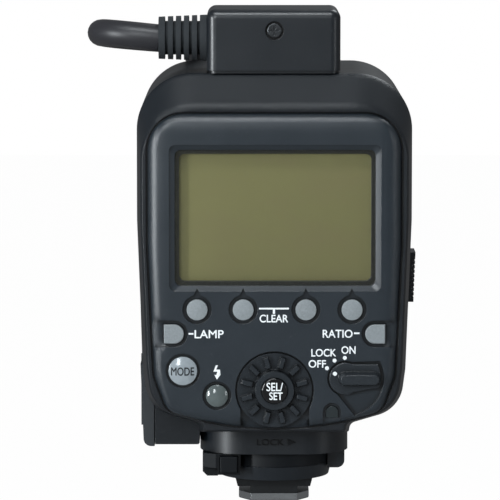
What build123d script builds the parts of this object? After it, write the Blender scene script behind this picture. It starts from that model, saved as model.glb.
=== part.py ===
"""Macro ring flash: the shoe mounted control unit, its cord and the ring head.

Units are millimetres. The origin is the centre of the shoe plate's bottom face.
+Z is up, +X is to the right when the display is looked at, and the display faces -Y.
"""
import os
from math import copysign, cos, degrees, pi, radians, sin, tan

from build123d import *

os.makedirs("parts", exist_ok=True)

# Fits and common sizes
OVERRUN = 1.0  # how far every cut runs past the face that it opens
RUN_GAP = 0.06  # running fit around a stem or a pin
SHOW_GAP = 0.15  # gap seen around a button cap
DOOR_GAP = 0.4  # gap seen around a door or a cover
WALL = 2.0  # moulded wall of the case
EDGE_SOFT = 0.3  # smallest moulded edge
HALF_TURN = 180
QUARTER_TURN = 90

# Depths from the display side to the front, along Y
PANEL_Y = -30.0  # face of the control panel
LEDGE_Y = -28.0  # back of the panel plate, resting on the case's ledge
LEDGE_BACK_Y = -26.5  # inner face of the case's rear wall
BOARD_Y = -24.3  # rear face of the control board
BOARD_THICK = 1.6
SHOULDER_Y = -21.0  # where the sloping shoulder meets the full section
SPLIT_Y = -14.0  # joint between the rear and the front case
FRONT_Y = 46.0
FRONT_SOFT = 6.0
FRONT_TRIM = 3.6
FRONT_BEND_Y = 43.6
FRONT_BEND_TRIM = 1.1
LIP_DEEP = 2.0
LIP_THICK = 1.0

# Case outlines seen from behind, in X and Z, with the radius of each corner
CASE_TOP = 114.0
CASE_LOW = 20.3
CASE_MIDDLE = 60.0  # corners below this height move up when the outline is drawn in
PANEL_HALF = 32.8
BORDER = 2.9  # from the panel's side to the case's side
CASE_HALF = PANEL_HALF + BORDER
CASE_LEAN = 1.5  # how much narrower the case is at its hip
HIP_HALF = CASE_HALF - CASE_LEAN
HIP_Z = 37.0
CHEEK_DRAW = 2.9
CHEEK_HALF = CASE_HALF - CHEEK_DRAW
CHEEK_Z = 26.4
WIDEST_Z = 76.0
BASE_HALF = 19.5
WAIST_HALF = BASE_HALF + EDGE_SOFT
WAIST_Z = 22.6
BOX_LOW = 15.9
BOX_RIGHT = -BASE_HALF - RUN_GAP
BOX_LOW_DRAW = 1.9
BOX_LEFT = -CASE_HALF + BOX_LOW_DRAW
BOX_HIP_DRAW = 1.1
BOX_HIP = -CASE_HALF + BOX_HIP_DRAW
CREST_DROP = 7.0
CREST_TOP = CASE_TOP - CREST_DROP
CREST_TRIM = 1.1
CREST_Y = -27.9
RIM_Y = -28.7
RIM_DROP = 7.7
RIM_TOP = CASE_TOP - RIM_DROP
RIM_TRIM = 1.6
TOP_RADIUS = 14.5
SIDE_RADIUS = 40.0
HIP_RADIUS = 8.0
CHEEK_RADIUS = 9.0
WAIST_RADIUS = 2.0
FOOT_EDGE = 0.6
BOX_EDGE = 1.5
BOX_SIDE_RADIUS = 12.0
UPPER_POINTS = [(HIP_HALF, HIP_Z), (CASE_HALF, WIDEST_Z), (CASE_HALF, CASE_TOP), (-CASE_HALF, CASE_TOP),
                (-CASE_HALF, WIDEST_Z)]
UPPER_RADII = [HIP_RADIUS, SIDE_RADIUS, TOP_RADIUS, TOP_RADIUS, SIDE_RADIUS]
REAR_POINTS = [(-BASE_HALF, CASE_LOW), (BASE_HALF, CASE_LOW), (WAIST_HALF, WAIST_Z), (CHEEK_HALF, CHEEK_Z)]
REAR_POINTS += UPPER_POINTS + [(-HIP_HALF, HIP_Z), (-CHEEK_HALF, CHEEK_Z), (-WAIST_HALF, WAIST_Z)]
REAR_RADII = [FOOT_EDGE, FOOT_EDGE, WAIST_RADIUS, CHEEK_RADIUS] + UPPER_RADII + [
    HIP_RADIUS, CHEEK_RADIUS, WAIST_RADIUS]
FRONT_POINTS = [(BOX_LEFT, BOX_LOW), (BOX_RIGHT, BOX_LOW), (BOX_RIGHT, CASE_LOW), (BASE_HALF, CASE_LOW),
                (WAIST_HALF, WAIST_Z), (CHEEK_HALF, CHEEK_Z)] + UPPER_POINTS + [(BOX_HIP, HIP_Z)]
FRONT_RADII = [BOX_EDGE, FOOT_EDGE, EDGE_SOFT, FOOT_EDGE, WAIST_RADIUS, CHEEK_RADIUS] + UPPER_RADII + [
    BOX_SIDE_RADIUS]

# Control panel outline, in X and Z
PANEL_DROP = 9.8  # from the top of the case to the top of the panel
PANEL_TOP = CASE_TOP - PANEL_DROP
PANEL_LOW_DRAW = 1.6
PANEL_LOW_HALF = PANEL_HALF - PANEL_LOW_DRAW
PANEL_SIDE_Z = 36.0
PANEL_KNEE_DRAW = 5.0
PANEL_KNEE_X = PANEL_HALF - PANEL_KNEE_DRAW
PANEL_KNEE_Z = 26.9
PANEL_LOW_Z = 22.4
PANEL_TOP_RADIUS = 9.5
PANEL_KNEE_RADIUS = 5.0
PANEL_EDGE_SOFT = 1.8
GROOVE = 0.4  # groove between the panel and the case's crest
LEDGE = 2.2

# Display
LCD_X = 0.15
LCD_DROP = 27.0
LCD_Z = PANEL_TOP - LCD_DROP
LCD_WIDE = 49.6
LCD_HIGH = 33.0
LCD_SEAT = 2.2  # how much wider the window's seat is than the opening
LCD_POCKET_WIDE = LCD_WIDE + LCD_SEAT
LCD_POCKET_HIGH = LCD_HIGH + LCD_SEAT
LCD_FLARE_WIDE = 5.0
LCD_FLARE_HIGH = 4.8
LCD_MOUTH_WIDE = LCD_WIDE + LCD_FLARE_WIDE
LCD_MOUTH_HIGH = LCD_HIGH + LCD_FLARE_HIGH
LCD_POCKET_DEEP = 0.8
LCD_STEP = 0.25
LCD_RADIUS = 1.6
LCD_WINDOW_THICK = 1.2
LCD_RIM = 7.2
LCD_RIM_THICK = 1.6
LCD_GLASS_THICK = 1.0
LCD_GLASS_RIM = 4.4
LCD_GLASS_WIDE = LCD_WIDE + LCD_GLASS_RIM
LCD_GLASS_HIGH = LCD_HIGH + LCD_GLASS_RIM

# Function buttons
BUTTON_XS = [-20.0, -8.1, 8.1, 20.0]
BUTTON_Z = 53.5
BUTTON_RADIUS = 2.7
BUTTON_WELL_RADIUS = 3.75
BUTTON_WELL_DEEP = 0.7
BUTTON_PROUD = 0.5
BUTTON_FLANGE = 3.4
FLANGE_THICK = 1.0
NOTCH_TOP = 5.5
NOTCH_HALF = 2.6
CAP_DOME = 0.25
SIDE_FLANGE = 0.7
SIDE_PROUD = 0.5
MODE_FLANGE = 4.4
TEST_FLANGE = 3.5

# Side buttons, round towards the middle and straight towards the edge
SIDE_BUTTON_X = 25.9
SIDE_BUTTON_Z = 47.2
SIDE_BUTTON_RADIUS = 2.5
SIDE_BUTTON_OUT = 28.6
CHANNEL_GAP = 0.95
CHANNEL_DEEP = 0.8
CHANNEL_OUT = 33.0

# Mode button and test button
MODE_X = -23.7
MODE_Z = 37.6
MODE_RADIUS = 3.7
MODE_WELL_RADIUS = 4.45
MODE_DOME = 0.8
TEST_X = -14.9
TEST_Z = 31.1
TEST_RADIUS = 2.87
TEST_WELL_RADIUS = 3.7
TEST_DOME = 0.9

# Select dial and set button
DIAL_Z = 32.5
DIAL_RADIUS = 9.7
DIAL_WELL_RADIUS = 10.15
DIAL_WELL_DEEP = 1.6
DIAL_WELL_BOSS = 11.2
DIAL_BOSS_DEEP = 2.4
DIAL_OPEN_LEFT = -8.8
DIAL_OPEN_RIGHT = 9.0
DIAL_PLATE = 1.2
DIAL_RIB_COUNT = 12
DIAL_RIB_START = 15.0
DIAL_RIB_WIDE = 1.5
DIAL_RIB_IN = 5.8
DIAL_RIB_OUT = 8.9
DIAL_RIB_HIGH = 1.1
DIAL_RIB_TAPER = 10.0
HUB_RADIUS = 5.3
HUB_HIGH = 2.7
SET_RADIUS = 3.3
SET_PROUD = 0.5
SHAFT_RADIUS = 4.7
ENCODER_RADIUS = 7.0
ENCODER_THICK = 1.15

# Power switch
SWITCH_X = 18.3
SWITCH_Z = 35.6
SWITCH_BASE_RADIUS = 4.2
SWITCH_WELL_RADIUS = 10.0
SWITCH_WELL_DEEP = 1.0
SWITCH_REACH = 9.2
SWITCH_BAR_TIP = 3.6
SWITCH_BAR_TAPER = 12.0
SWITCH_FAN_HIGH = 24.0
SWITCH_FAN_LOW = -14.7
WAFER_THICK = 2.0
SWITCH_PROUD = 3.2
SWITCH_DISC_PROUD = 0.6
SWITCH_STEM = 2.4
SWITCH_ARC_HIGH = 27.0
SWITCH_ARC_LOW = -76.0
SWITCH_WAFER = 5.2

# Confirmation lamp
LAMP_X = 14.9
LAMP_TOP = 28.4
LAMP_LOW = 25.3
LAMP_HALF = 1.6
LAMP_EDGE = 0.75
LAMP_FLANGE = 0.4
LAMP_FLANGE_THICK = 0.8

# Key switches on the control board
KEY_SIDE = 4.0
KEY_HIGH = 1.4
KEY_PIN = 1.0
KEY_PIN_HIGH = 0.5

# Control board and its screws
BOARD_TRIM = 3.7
POST_HIGH_DRAW = 9.8
POST_LOW_DRAW = 7.2
POST_DROP = 5.0
POST_LIFT = 0.1
POST_HIGH_X = PANEL_HALF - POST_HIGH_DRAW
POST_LOW_X = PANEL_HALF - POST_LOW_DRAW
POST_HIGH_Z = PANEL_TOP - POST_DROP
POST_LOW_Z = BUTTON_Z + POST_LIFT
POSTS = [(-POST_HIGH_X, POST_HIGH_Z), (POST_HIGH_X, POST_HIGH_Z), (-POST_LOW_X, POST_LOW_Z),
         (POST_LOW_X, POST_LOW_Z)]
POST_RADIUS = 1.5
POST_HOLE = 0.7
BOARD_SCREW_HEAD = 1.7
BOARD_SCREW_HIGH = 1.1
BOARD_SCREW_LONG = 3.6

# Power board, capacitor and battery tray
INNER_LOW = CASE_LOW + WALL + FRONT_BEND_TRIM  # floor inside the front case
POWER_BOARD_X = -3.0
POWER_BOARD_THICK = 1.6
POWER_BOARD_DROP = 6.0
POWER_BOARD_TOP = CASE_TOP - POWER_BOARD_DROP
POWER_BOARD_REAR = -8.0
POWER_BOARD_FRONT = 36.0
CAP_RADIUS = 10.5
CAP_ROUND = 0.6
CAP_LONG = 52.0
CAP_Y = 20.0
CAP_LOW = 42.0
CRADLE_WIDE = 16.0
CRADLE_DEEP = 6.5
CRADLE_HIGH = 6.0
TRAY_DRAW = 5.7
TRAY_RIGHT = CASE_HALF - TRAY_DRAW
TRAY_REAR = 6.0
TRAY_FRONT = 39.0
TRAY_LOW = 38.4
TRAY_TOP = 93.6
TRAY_WALL = 1.4
CELL_PITCH = 15.1
TAG_SIDE = 9.0
TAG_THICK = 0.4
SPRING_LOW_RADIUS = 3.8
SPRING_TOP_RADIUS = 1.8
SPRING_HIGH = 1.6

# Battery door with its hinge pin and its latch, on the right side
DOOR_SPACE = 6.0
DOOR_LOW = 40.0
DOOR_TOP = 96.0
DOOR_REAR = -6.0
DOOR_FRONT = 39.0
DOOR_PIN_RADIUS = 0.6
DOOR_PIN_DRAW = 2.8
DOOR_PIN_X = CASE_HALF - DOOR_PIN_DRAW
DOOR_PIN_Z = 42.0
DOOR_PIN_END = 1.5
DOOR_BEAD = 1.3
LATCH_LOW = 52.5
LATCH_TOP = 65.7
LATCH_REAR = -4.4
LATCH_FRONT = 6.0
LATCH_LIFT = 0.12
LATCH_PROUD = 2.0
LATCH_TRAVEL = 2.4
LATCH_RIB_PITCH = 1.2
LATCH_RIB_FLOOR = 0.5
LATCH_RIB_CUT = 0.5
LATCH_STEM_LONG = 3.0
LATCH_STEM_HIGH = 5.0
LATCH_STEM_Y = -1.2
LATCH_STEM_DRAW = 0.4
LATCH_STEM_X = CASE_HALF - LATCH_STEM_DRAW
LATCH_IN_DRAW = 5.5
LATCH_IN_X = CASE_HALF - LATCH_IN_DRAW
LATCH_LEAN = CASE_LEAN / (WIDEST_Z - HIP_Z)
LATCH_TONGUE = 1.0
LATCH_TONGUE_SHY = 0.6

# Terminal cover on the lower left side, and the sockets behind it
COVER_DRAW = 4.4
COVER_PROUD = 0.5
COVER_IN_X = -CASE_HALF + COVER_DRAW
COVER_BEAD = 0.6
COVER_BEAD_LOW = BOX_LOW + BOX_EDGE + FOOT_EDGE
COVER_AXIS_DRAW = 0.8
COVER_AXIS_X = -CASE_HALF + COVER_AXIS_DRAW
COVER_AXIS_Y = 7.0
COVER_FRONT = 8.0
COVER_TOP = 37.4
TERMINAL_THICK = 5.0
TERMINAL_TOP = 40.5
TERMINAL_FRONT = 10.0
SOCKETS = [(-7.0, 29.0), (2.0, 29.0)]
SOCKET_RADIUS = 3.0
SOCKET_BORE = 2.1
SOCKET_LONG = 3.6
SOCKET_PIN = 0.6

# Cord block on the top
BLOCK_LEFT = -17.6
BLOCK_RIGHT = 17.1
BLOCK_REAR = -22.0
BLOCK_FRONT = 8.0
BLOCK_HIGH = 16.6
BLOCK_TOP = CASE_TOP + BLOCK_HIGH
BLOCK_SOFT = 2.6
BLOCK_WALL = 2.2
BLOCK_SEAM = 0.5
BLOCK_SEAM_HIGH = 0.7
BLOCK_SCREW_DROP = 5.5
BLOCK_SCREW_Z = BLOCK_TOP - BLOCK_SCREW_DROP
BLOCK_SCREW_WELL = 2.4
BLOCK_SCREW_HEAD = 1.95
BLOCK_SCREW_SHANK = 1.0
BLOCK_SCREW_DEEP = 1.2
BLOCK_SCREW_HIGH = 0.9
BLOCK_SCREW_LONG = 6.0
BLOCK_POST = 2.2
BLOCK_POST_LONG = 7.0
CROSS_LONG = 2.6
CROSS_WIDE = 0.5
CROSS_DEEP = 0.6

# Cord, boot and the route of the cord
CORD_DIAMETER = 7.0
CORD_Y = -10.0
BOOT_DROP = 7.9
BOOT_Z = BLOCK_TOP - BOOT_DROP
BOOT_ROOT = 6.05
BOOT_TIP = 5.5
BOOT_TIP_X = -30.2
BOOT_RIB_COUNT = 5
BOOT_PITCH = 2.09
BOOT_SLOT_WIDE = 0.75
BOOT_SLOT_DEEP = 1.1
HEAD_BOOT_LOW = -24.0
HEAD_BOOT_TOP = -10.0
HEAD_BOOT_X = 0.0
HEAD_BOOT_Y = 86.0
CORD_POINTS = [
    (BOOT_TIP_X, CORD_Y, BOOT_Z), (-45.7, -10.0, 124.4), (-45.7, 10.0, 122.6), (-23.5, 13.0, 120.6),
    (-22.0, 56.0, 120.0), (-8.0, 60.0, 62.0), (0.0, 84.0, 18.0), (HEAD_BOOT_X, HEAD_BOOT_Y, HEAD_BOOT_TOP),
]
BEND_SHARE = 0.45
CORD_SINK = 0.6
BOOT_COLLAR = 1.8
SPIGOT_RADIUS = 4.4
SPIGOT_LONG = 3.4

# Shoe base, lock lever and foot
BASE_LOW = 13.8
BASE_REACH = 18.0
BASE_CORNER = 12.0
BASE_SKIN = 2.2
BASE_ROOF = 2.4
LEVER_RADIUS = 15.5
COLUMN_RADIUS = 11.9
COLLAR_TOP = 9.9
COLLAR_LOW = 6.3
COLLAR_LOW_RADIUS = 14.6
LEVER_ARM = [(-18.8, -7.5), (-18.8, -14.4), (-15.4, -16.8), (-8.8, -16.8), (-8.8, -12.6), (-12.7, -8.0)]
FINGER_LEFT = -18.8
FINGER_RIGHT = -14.8
FINGER_CUT = 1.2
FINGER_REAR = -14.4
FINGER_FRONT = -7.5
FINGER_LOW = 7.6
RELEASE_LEFT = -14.2
RELEASE_RIGHT = -9.6
RELEASE_LOW = 8.8
RELEASE_TOP = 13.2
RELEASE_FACE = -17.6
RELEASE_BACK = -14.4
RELEASE_TRAVEL = 1.0
RELEASE_WALL = 0.6
RELEASE_INNER_Y = -13.2
RELEASE_SLOT = 0.1
LUG_LEFT = 12.0
LUG_RIGHT = 18.7
LUG_GAP = 0.3
LUG_CORNER = 2.0
LUG_LOW = 8.6
LUG_REAR = -7.0
LUG_FRONT = 11.0
FOOT_TOP_HALF = 10.2
FOOT_LOW_HALF = 9.6
FOOT_SLOT_TOP = 3.9
NECK_HALF = 6.2
PLATE_THICK = 2.0
PLATE_HALF = 9.3
PLATE_REACH = 9.0
PLATE_CUT_X = 3.2
PLATE_CUT_Y = 5.0
INSERT_HALF_X = 5.6
INSERT_HALF_Y = 4.4
INSERT_THICK = 1.2
CONTACT_RADIUS = 0.8
CONTACTS = [(0.0, 0.0), (-3.9, -2.6), (3.9, -2.6), (-3.9, 2.6), (3.9, 2.6)]
CONTACT_TOP = 6.0
PIN_RADIUS = 1.1
PIN_Y = -7.2
PIN_LOW = 0.2
PIN_TOP = 11.6
PIN_BORE_TOP = 12.6
FOOT_SCREWS = [(-4.6, -7.0), (4.6, -7.0), (-4.6, 7.0), (4.6, 7.0)]
FOOT_SCREW_RADIUS = 0.8
FOOT_SCREW_HEAD = 1.4
FOOT_SCREW_LOW = 0.15
FOOT_SCREW_HIGH = 1.0
FOOT_SCREW_TOP = 9.0

# Ring head
HEAD_Z = -87.0
HEAD_REAR_Y = 75.0
HEAD_SPLIT_Y = 86.0
HEAD_FRONT_Y = 100.5
HEAD_RADIUS = 56.0
HEAD_HALF_HIGH = 63.0
HEAD_BLOCK_TOP_HALF = 27.0
HEAD_BLOCK_LOW_HALF = 21.0
HEAD_BLOCK_CORNER = 5.0
HEAD_HOLE = 33.0
HEAD_WALL = 1.8
HEAD_SLOT_DEEP = 5.4
HEAD_SOFT = 2.0
WINDOW_IN = 37.5
WINDOW_OUT = 52.0
WINDOW_HALF_ANGLE = 57.0
WINDOW_LEDGE = 0.9
REFLECTOR_DEEP = 6.0
REFLECTOR_WALL = 0.6
REFLECTOR_HALF_ANGLE = 50.0
TUBE_RING = 44.75
TUBE_RADIUS = 1.7
TUBE_HALF_ANGLE = 51.0
TUBE_Y = 94.6
FOCUS = [(-7.5, 45.0), (7.5, 45.0), (-7.5, -45.0), (7.5, -45.0)]
FOCUS_RADIUS = 3.4
FOCUS_FLANGE = 4.0
FOCUS_FLANGE_THICK = 1.2
KEY_HALF_HIGH = 8.0
KEY_REAR_Y = 78.4
KEY_FRONT_Y = 84.6
KEY_IN = 49.5
KEY_OUT_RADIUS = 57.6
HOOK_IN = 31.8
HOOK_OUT = 38.0
HOOK_HALF_HIGH = 4.0
HOOK_REAR_Y = 76.86
HOOK_FRONT_Y = 79.0
HEAD_POST_RING = 50.0
HEAD_POST_ANGLES = [66.0, 114.0, 246.0, 294.0]
HEAD_POST = 2.4
HEAD_SCREW_HEAD = 2.0
HEAD_SCREW_SHANK = 1.0
HEAD_SCREW_WELL = 2.2
HEAD_SCREW_WELL_DEEP = 1.1
HEAD_SCREW_HIGH = 0.9
HEAD_SCREW_BITE = 5.0
HEAD_BOARD_IN = 37.0
HEAD_BOARD_OUT = 47.0
HEAD_BOARD_HALF_ANGLE = 40.0
HEAD_BOARD_THICK = 1.6


def back_plane(y):
    """Drawing plane at depth y, seen from behind: X to the right and Z up."""
    return Plane.XZ.offset(-y)


def save(part, label):
    """Name a finished solid and write its file."""
    part.label = label
    export_step(part, f"parts/{label}.step")
    print(label, round(part.volume, 1), len(part.solids()))


def slab(xs, ys, zs):
    """Plain block of space between two limits on each axis, for cuts and limits."""
    with BuildPart() as block:
        with BuildSketch(Plane.XY.offset(zs[0])):
            with Locations(((xs[0] + xs[1]) / 2, (ys[0] + ys[1]) / 2)):
                Rectangle(xs[1] - xs[0], ys[1] - ys[0])
        extrude(amount=zs[1] - zs[0])
    return block.part


# Case


def case_outline(outline, trim, top):
    """Closed outline of the case, drawn in by trim, with its top edge at top."""
    points = []
    for x, z in outline:
        new_z = top if z == CASE_TOP else z
        if z < CASE_MIDDLE:
            new_z = z + trim
        points.append((x - copysign(trim, x), new_z))
    return points


def rear_face(trim, top):
    """Filled outline of the rear case, drawn in by trim."""
    with BuildSketch() as face:
        with BuildLine():
            FilletPolyline(*case_outline(REAR_POINTS, trim, top), radius=REAR_RADII, close=True)
        make_face()
    return face.sketch


def front_face(trim):
    """Filled outline of the front case, drawn in by trim."""
    with BuildSketch() as face:
        with BuildLine():
            outline = case_outline(FRONT_POINTS, trim, CASE_TOP - trim)
            FilletPolyline(*outline, radius=FRONT_RADII, close=True)
        make_face()
    return face.sketch


def panel_line():
    """Outline of the control panel, closed by a shallow arc along its foot."""
    with BuildLine() as line:
        side = Polyline(
            (-PANEL_KNEE_X, PANEL_KNEE_Z),
            (-PANEL_LOW_HALF, PANEL_SIDE_Z),
            (-PANEL_HALF, (PANEL_TOP + PANEL_SIDE_Z) / 2),
            (-PANEL_HALF, PANEL_TOP),
            (PANEL_HALF, PANEL_TOP),
            (PANEL_HALF, (PANEL_TOP + PANEL_SIDE_Z) / 2),
            (PANEL_LOW_HALF, PANEL_SIDE_Z),
            (PANEL_KNEE_X, PANEL_KNEE_Z),
        )
        ThreePointArc(side @ 1, (0, PANEL_LOW_Z), side @ 0)
    return line.line


def panel_face(grow=0.0):
    """Filled outline of the panel, made wider or narrower by grow."""
    with BuildSketch() as face:
        with BuildLine():
            add(panel_line())
        make_face()
        tops = face.vertices().group_by(Axis.Y)[-1]
        fillet(tops, PANEL_TOP_RADIUS)
        sides = [v for v in face.vertices() if abs(v.Y - PANEL_SIDE_Z) < EDGE_SOFT]
        fillet(sides, PANEL_KNEE_RADIUS * 2)
        knees = [v for v in face.vertices() if abs(v.Y - PANEL_KNEE_Z) < EDGE_SOFT]
        fillet(knees, PANEL_KNEE_RADIUS)
        if grow:
            offset(amount=grow, kind=Kind.INTERSECTION)
    return face.sketch


def make_rear_case():
    """Rear shell with its crest, its sloping shoulder and the seat of the panel."""
    with BuildPart() as case:
        with BuildSketch(back_plane(SHOULDER_Y)):
            add(rear_face(0.0, CASE_TOP))
        with BuildSketch(back_plane(CREST_Y)):
            add(rear_face(CREST_TRIM, CREST_TOP))
        with BuildSketch(back_plane(RIM_Y)):
            add(rear_face(RIM_TRIM, RIM_TOP))
        loft(ruled=True)
        with BuildSketch(back_plane(SPLIT_Y)):
            add(rear_face(0.0, CASE_TOP))
        extrude(amount=SPLIT_Y - SHOULDER_Y)
        # hollow behind the rear wall
        with BuildSketch(back_plane(SHOULDER_Y)):
            add(rear_face(CREST_TRIM, CREST_TOP))
            offset(amount=-WALL, kind=Kind.INTERSECTION)
        extrude(amount=SHOULDER_Y - LEDGE_BACK_Y, mode=Mode.SUBTRACT)
        with BuildSketch(back_plane(SPLIT_Y + OVERRUN)):
            add(rear_face(0.0, CASE_TOP))
            offset(amount=-WALL, kind=Kind.INTERSECTION)
        extrude(amount=SPLIT_Y + OVERRUN - SHOULDER_Y, mode=Mode.SUBTRACT)
        # seat of the control panel and the opening inside its ledge
        with BuildSketch(back_plane(LEDGE_Y)):
            add(panel_face(GROOVE))
        extrude(amount=LEDGE_Y - PANEL_Y + OVERRUN, mode=Mode.SUBTRACT)
        with BuildSketch(back_plane(SHOULDER_Y)):
            add(panel_face(-LEDGE))
        extrude(amount=SHOULDER_Y - PANEL_Y + OVERRUN, mode=Mode.SUBTRACT)
    save(case.part, "rear_case")


def cover_box(gap):
    """Block of space that the terminal cover fills, shrunk by gap."""
    with BuildPart() as box:
        with BuildSketch(back_plane(COVER_FRONT - gap)):
            with Locations((COVER_IN_X - PANEL_HALF / 2, (BOX_LOW + COVER_TOP) / 2 - OVERRUN)):
                Rectangle(PANEL_HALF, COVER_TOP - BOX_LOW + OVERRUN * 2 - gap * 2)
        extrude(amount=COVER_FRONT - SPLIT_Y + OVERRUN)
    return box.part


def terminal_space():
    """Block of space that the terminal block fills."""
    floor = BOX_LOW + WALL + FRONT_BEND_TRIM
    return slab((COVER_IN_X, COVER_IN_X + TERMINAL_THICK), (SPLIT_Y + WALL, TERMINAL_FRONT),
                (floor, TERMINAL_TOP))


def door_box(gap):
    """Block of space that the battery door fills, shrunk by gap."""
    with BuildPart() as box:
        with BuildSketch(back_plane(DOOR_FRONT - gap)):
            with Locations((CASE_HALF + WALL - DOOR_SPACE / 2, (DOOR_LOW + DOOR_TOP) / 2)):
                Rectangle(DOOR_SPACE + WALL * 2, DOOR_TOP - DOOR_LOW - gap * 2)
        extrude(amount=DOOR_FRONT - DOOR_REAR - gap * 2)
    return box.part


def make_front_case():
    """Front shell, with a lip into the rear shell and the opening of the battery door."""
    with BuildPart() as shell:
        with BuildSketch(back_plane(FRONT_Y)):
            add(front_face(FRONT_TRIM))
        with BuildSketch(back_plane(FRONT_BEND_Y)):
            add(front_face(FRONT_BEND_TRIM))
        with BuildSketch(back_plane(FRONT_Y - FRONT_SOFT)):
            add(front_face(0.0))
        loft(ruled=True)
        with BuildSketch(back_plane(FRONT_Y - FRONT_SOFT)):
            add(front_face(0.0))
        extrude(amount=FRONT_Y - FRONT_SOFT - SPLIT_Y)
        # lip
        with BuildSketch(back_plane(SPLIT_Y)):
            add(rear_face(0.0, CASE_TOP))
            offset(amount=-WALL - RUN_GAP, kind=Kind.INTERSECTION)
        extrude(amount=LIP_DEEP)
        # hollow, drawn from the narrower rear outline so that the lip keeps its wall
        with BuildSketch(back_plane(SPLIT_Y + WALL)):
            add(rear_face(0.0, CASE_TOP))
            offset(amount=-WALL - LIP_THICK, kind=Kind.INTERSECTION)
        extrude(amount=WALL + LIP_DEEP + OVERRUN, mode=Mode.SUBTRACT)
        with BuildSketch(back_plane(FRONT_BEND_Y)):
            add(front_face(0.0))
            offset(amount=-WALL - FRONT_BEND_TRIM, kind=Kind.INTERSECTION)
        extrude(amount=FRONT_BEND_Y - SPLIT_Y - WALL, mode=Mode.SUBTRACT)
        add(door_box(0.0), mode=Mode.SUBTRACT)
        add(cover_box(0.0), mode=Mode.SUBTRACT)
        add(terminal_space(), mode=Mode.SUBTRACT)
        with BuildSketch(back_plane(DOOR_FRONT + DOOR_PIN_END)):
            with Locations((DOOR_PIN_X, DOOR_PIN_Z)):
                Circle(DOOR_PIN_RADIUS)
        extrude(amount=DOOR_FRONT - DOOR_REAR + DOOR_PIN_END * 2, mode=Mode.SUBTRACT)
    save(shell.part, "front_case")



# Control panel and display


def window_sketch(wide, high):
    """Rounded rectangle of the display, on the plane of the open sketch."""
    with BuildSketch() as face:
        with Locations((LCD_X, LCD_Z)):
            RectangleRounded(wide, high, LCD_RADIUS)
    return face.sketch


def side_shape(side, grow, out):
    """Side button outline: round towards the middle, straight at distance out from the middle."""
    radius = SIDE_BUTTON_RADIUS + grow
    with BuildSketch() as face:
        with Locations((side * SIDE_BUTTON_X, SIDE_BUTTON_Z)):
            Circle(radius)
        with Locations((side * (SIDE_BUTTON_X + out) / 2, SIDE_BUTTON_Z)):
            Rectangle(out - SIDE_BUTTON_X, radius * 2)
        with Locations((side * (out + radius), SIDE_BUTTON_Z)):
            Rectangle(radius * 2, radius * 2, mode=Mode.SUBTRACT)
    return face.sketch


def arch_shape(half, top, low):
    """Outline with a round top, centred on the confirmation lamp."""
    with BuildSketch() as face:
        with Locations((LAMP_X, top - half)):
            Circle(half)
        with Locations((LAMP_X, (top - half + low) / 2)):
            Rectangle(half * 2, top - half - low)
    return face.sketch


def sector_shape(radius, start, end, hub):
    """Pie slice joined to a round hub, centred on the power switch."""
    steps = [start, (start + end) / 2, end]
    rim = [(SWITCH_X + radius * cos(radians(a)), SWITCH_Z + radius * sin(radians(a))) for a in steps]
    root = [(SWITCH_X + hub * cos(radians(a)), SWITCH_Z + hub * sin(radians(a)))
            for a in (start + QUARTER_TURN, end - QUARTER_TURN)]
    with BuildSketch() as face:
        with BuildLine():
            ThreePointArc(*rim)
            Polyline(rim[2], root[1], root[0], rim[0])
        make_face()
        with Locations((SWITCH_X, SWITCH_Z)):
            Circle(hub)
    return face.sketch


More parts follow.
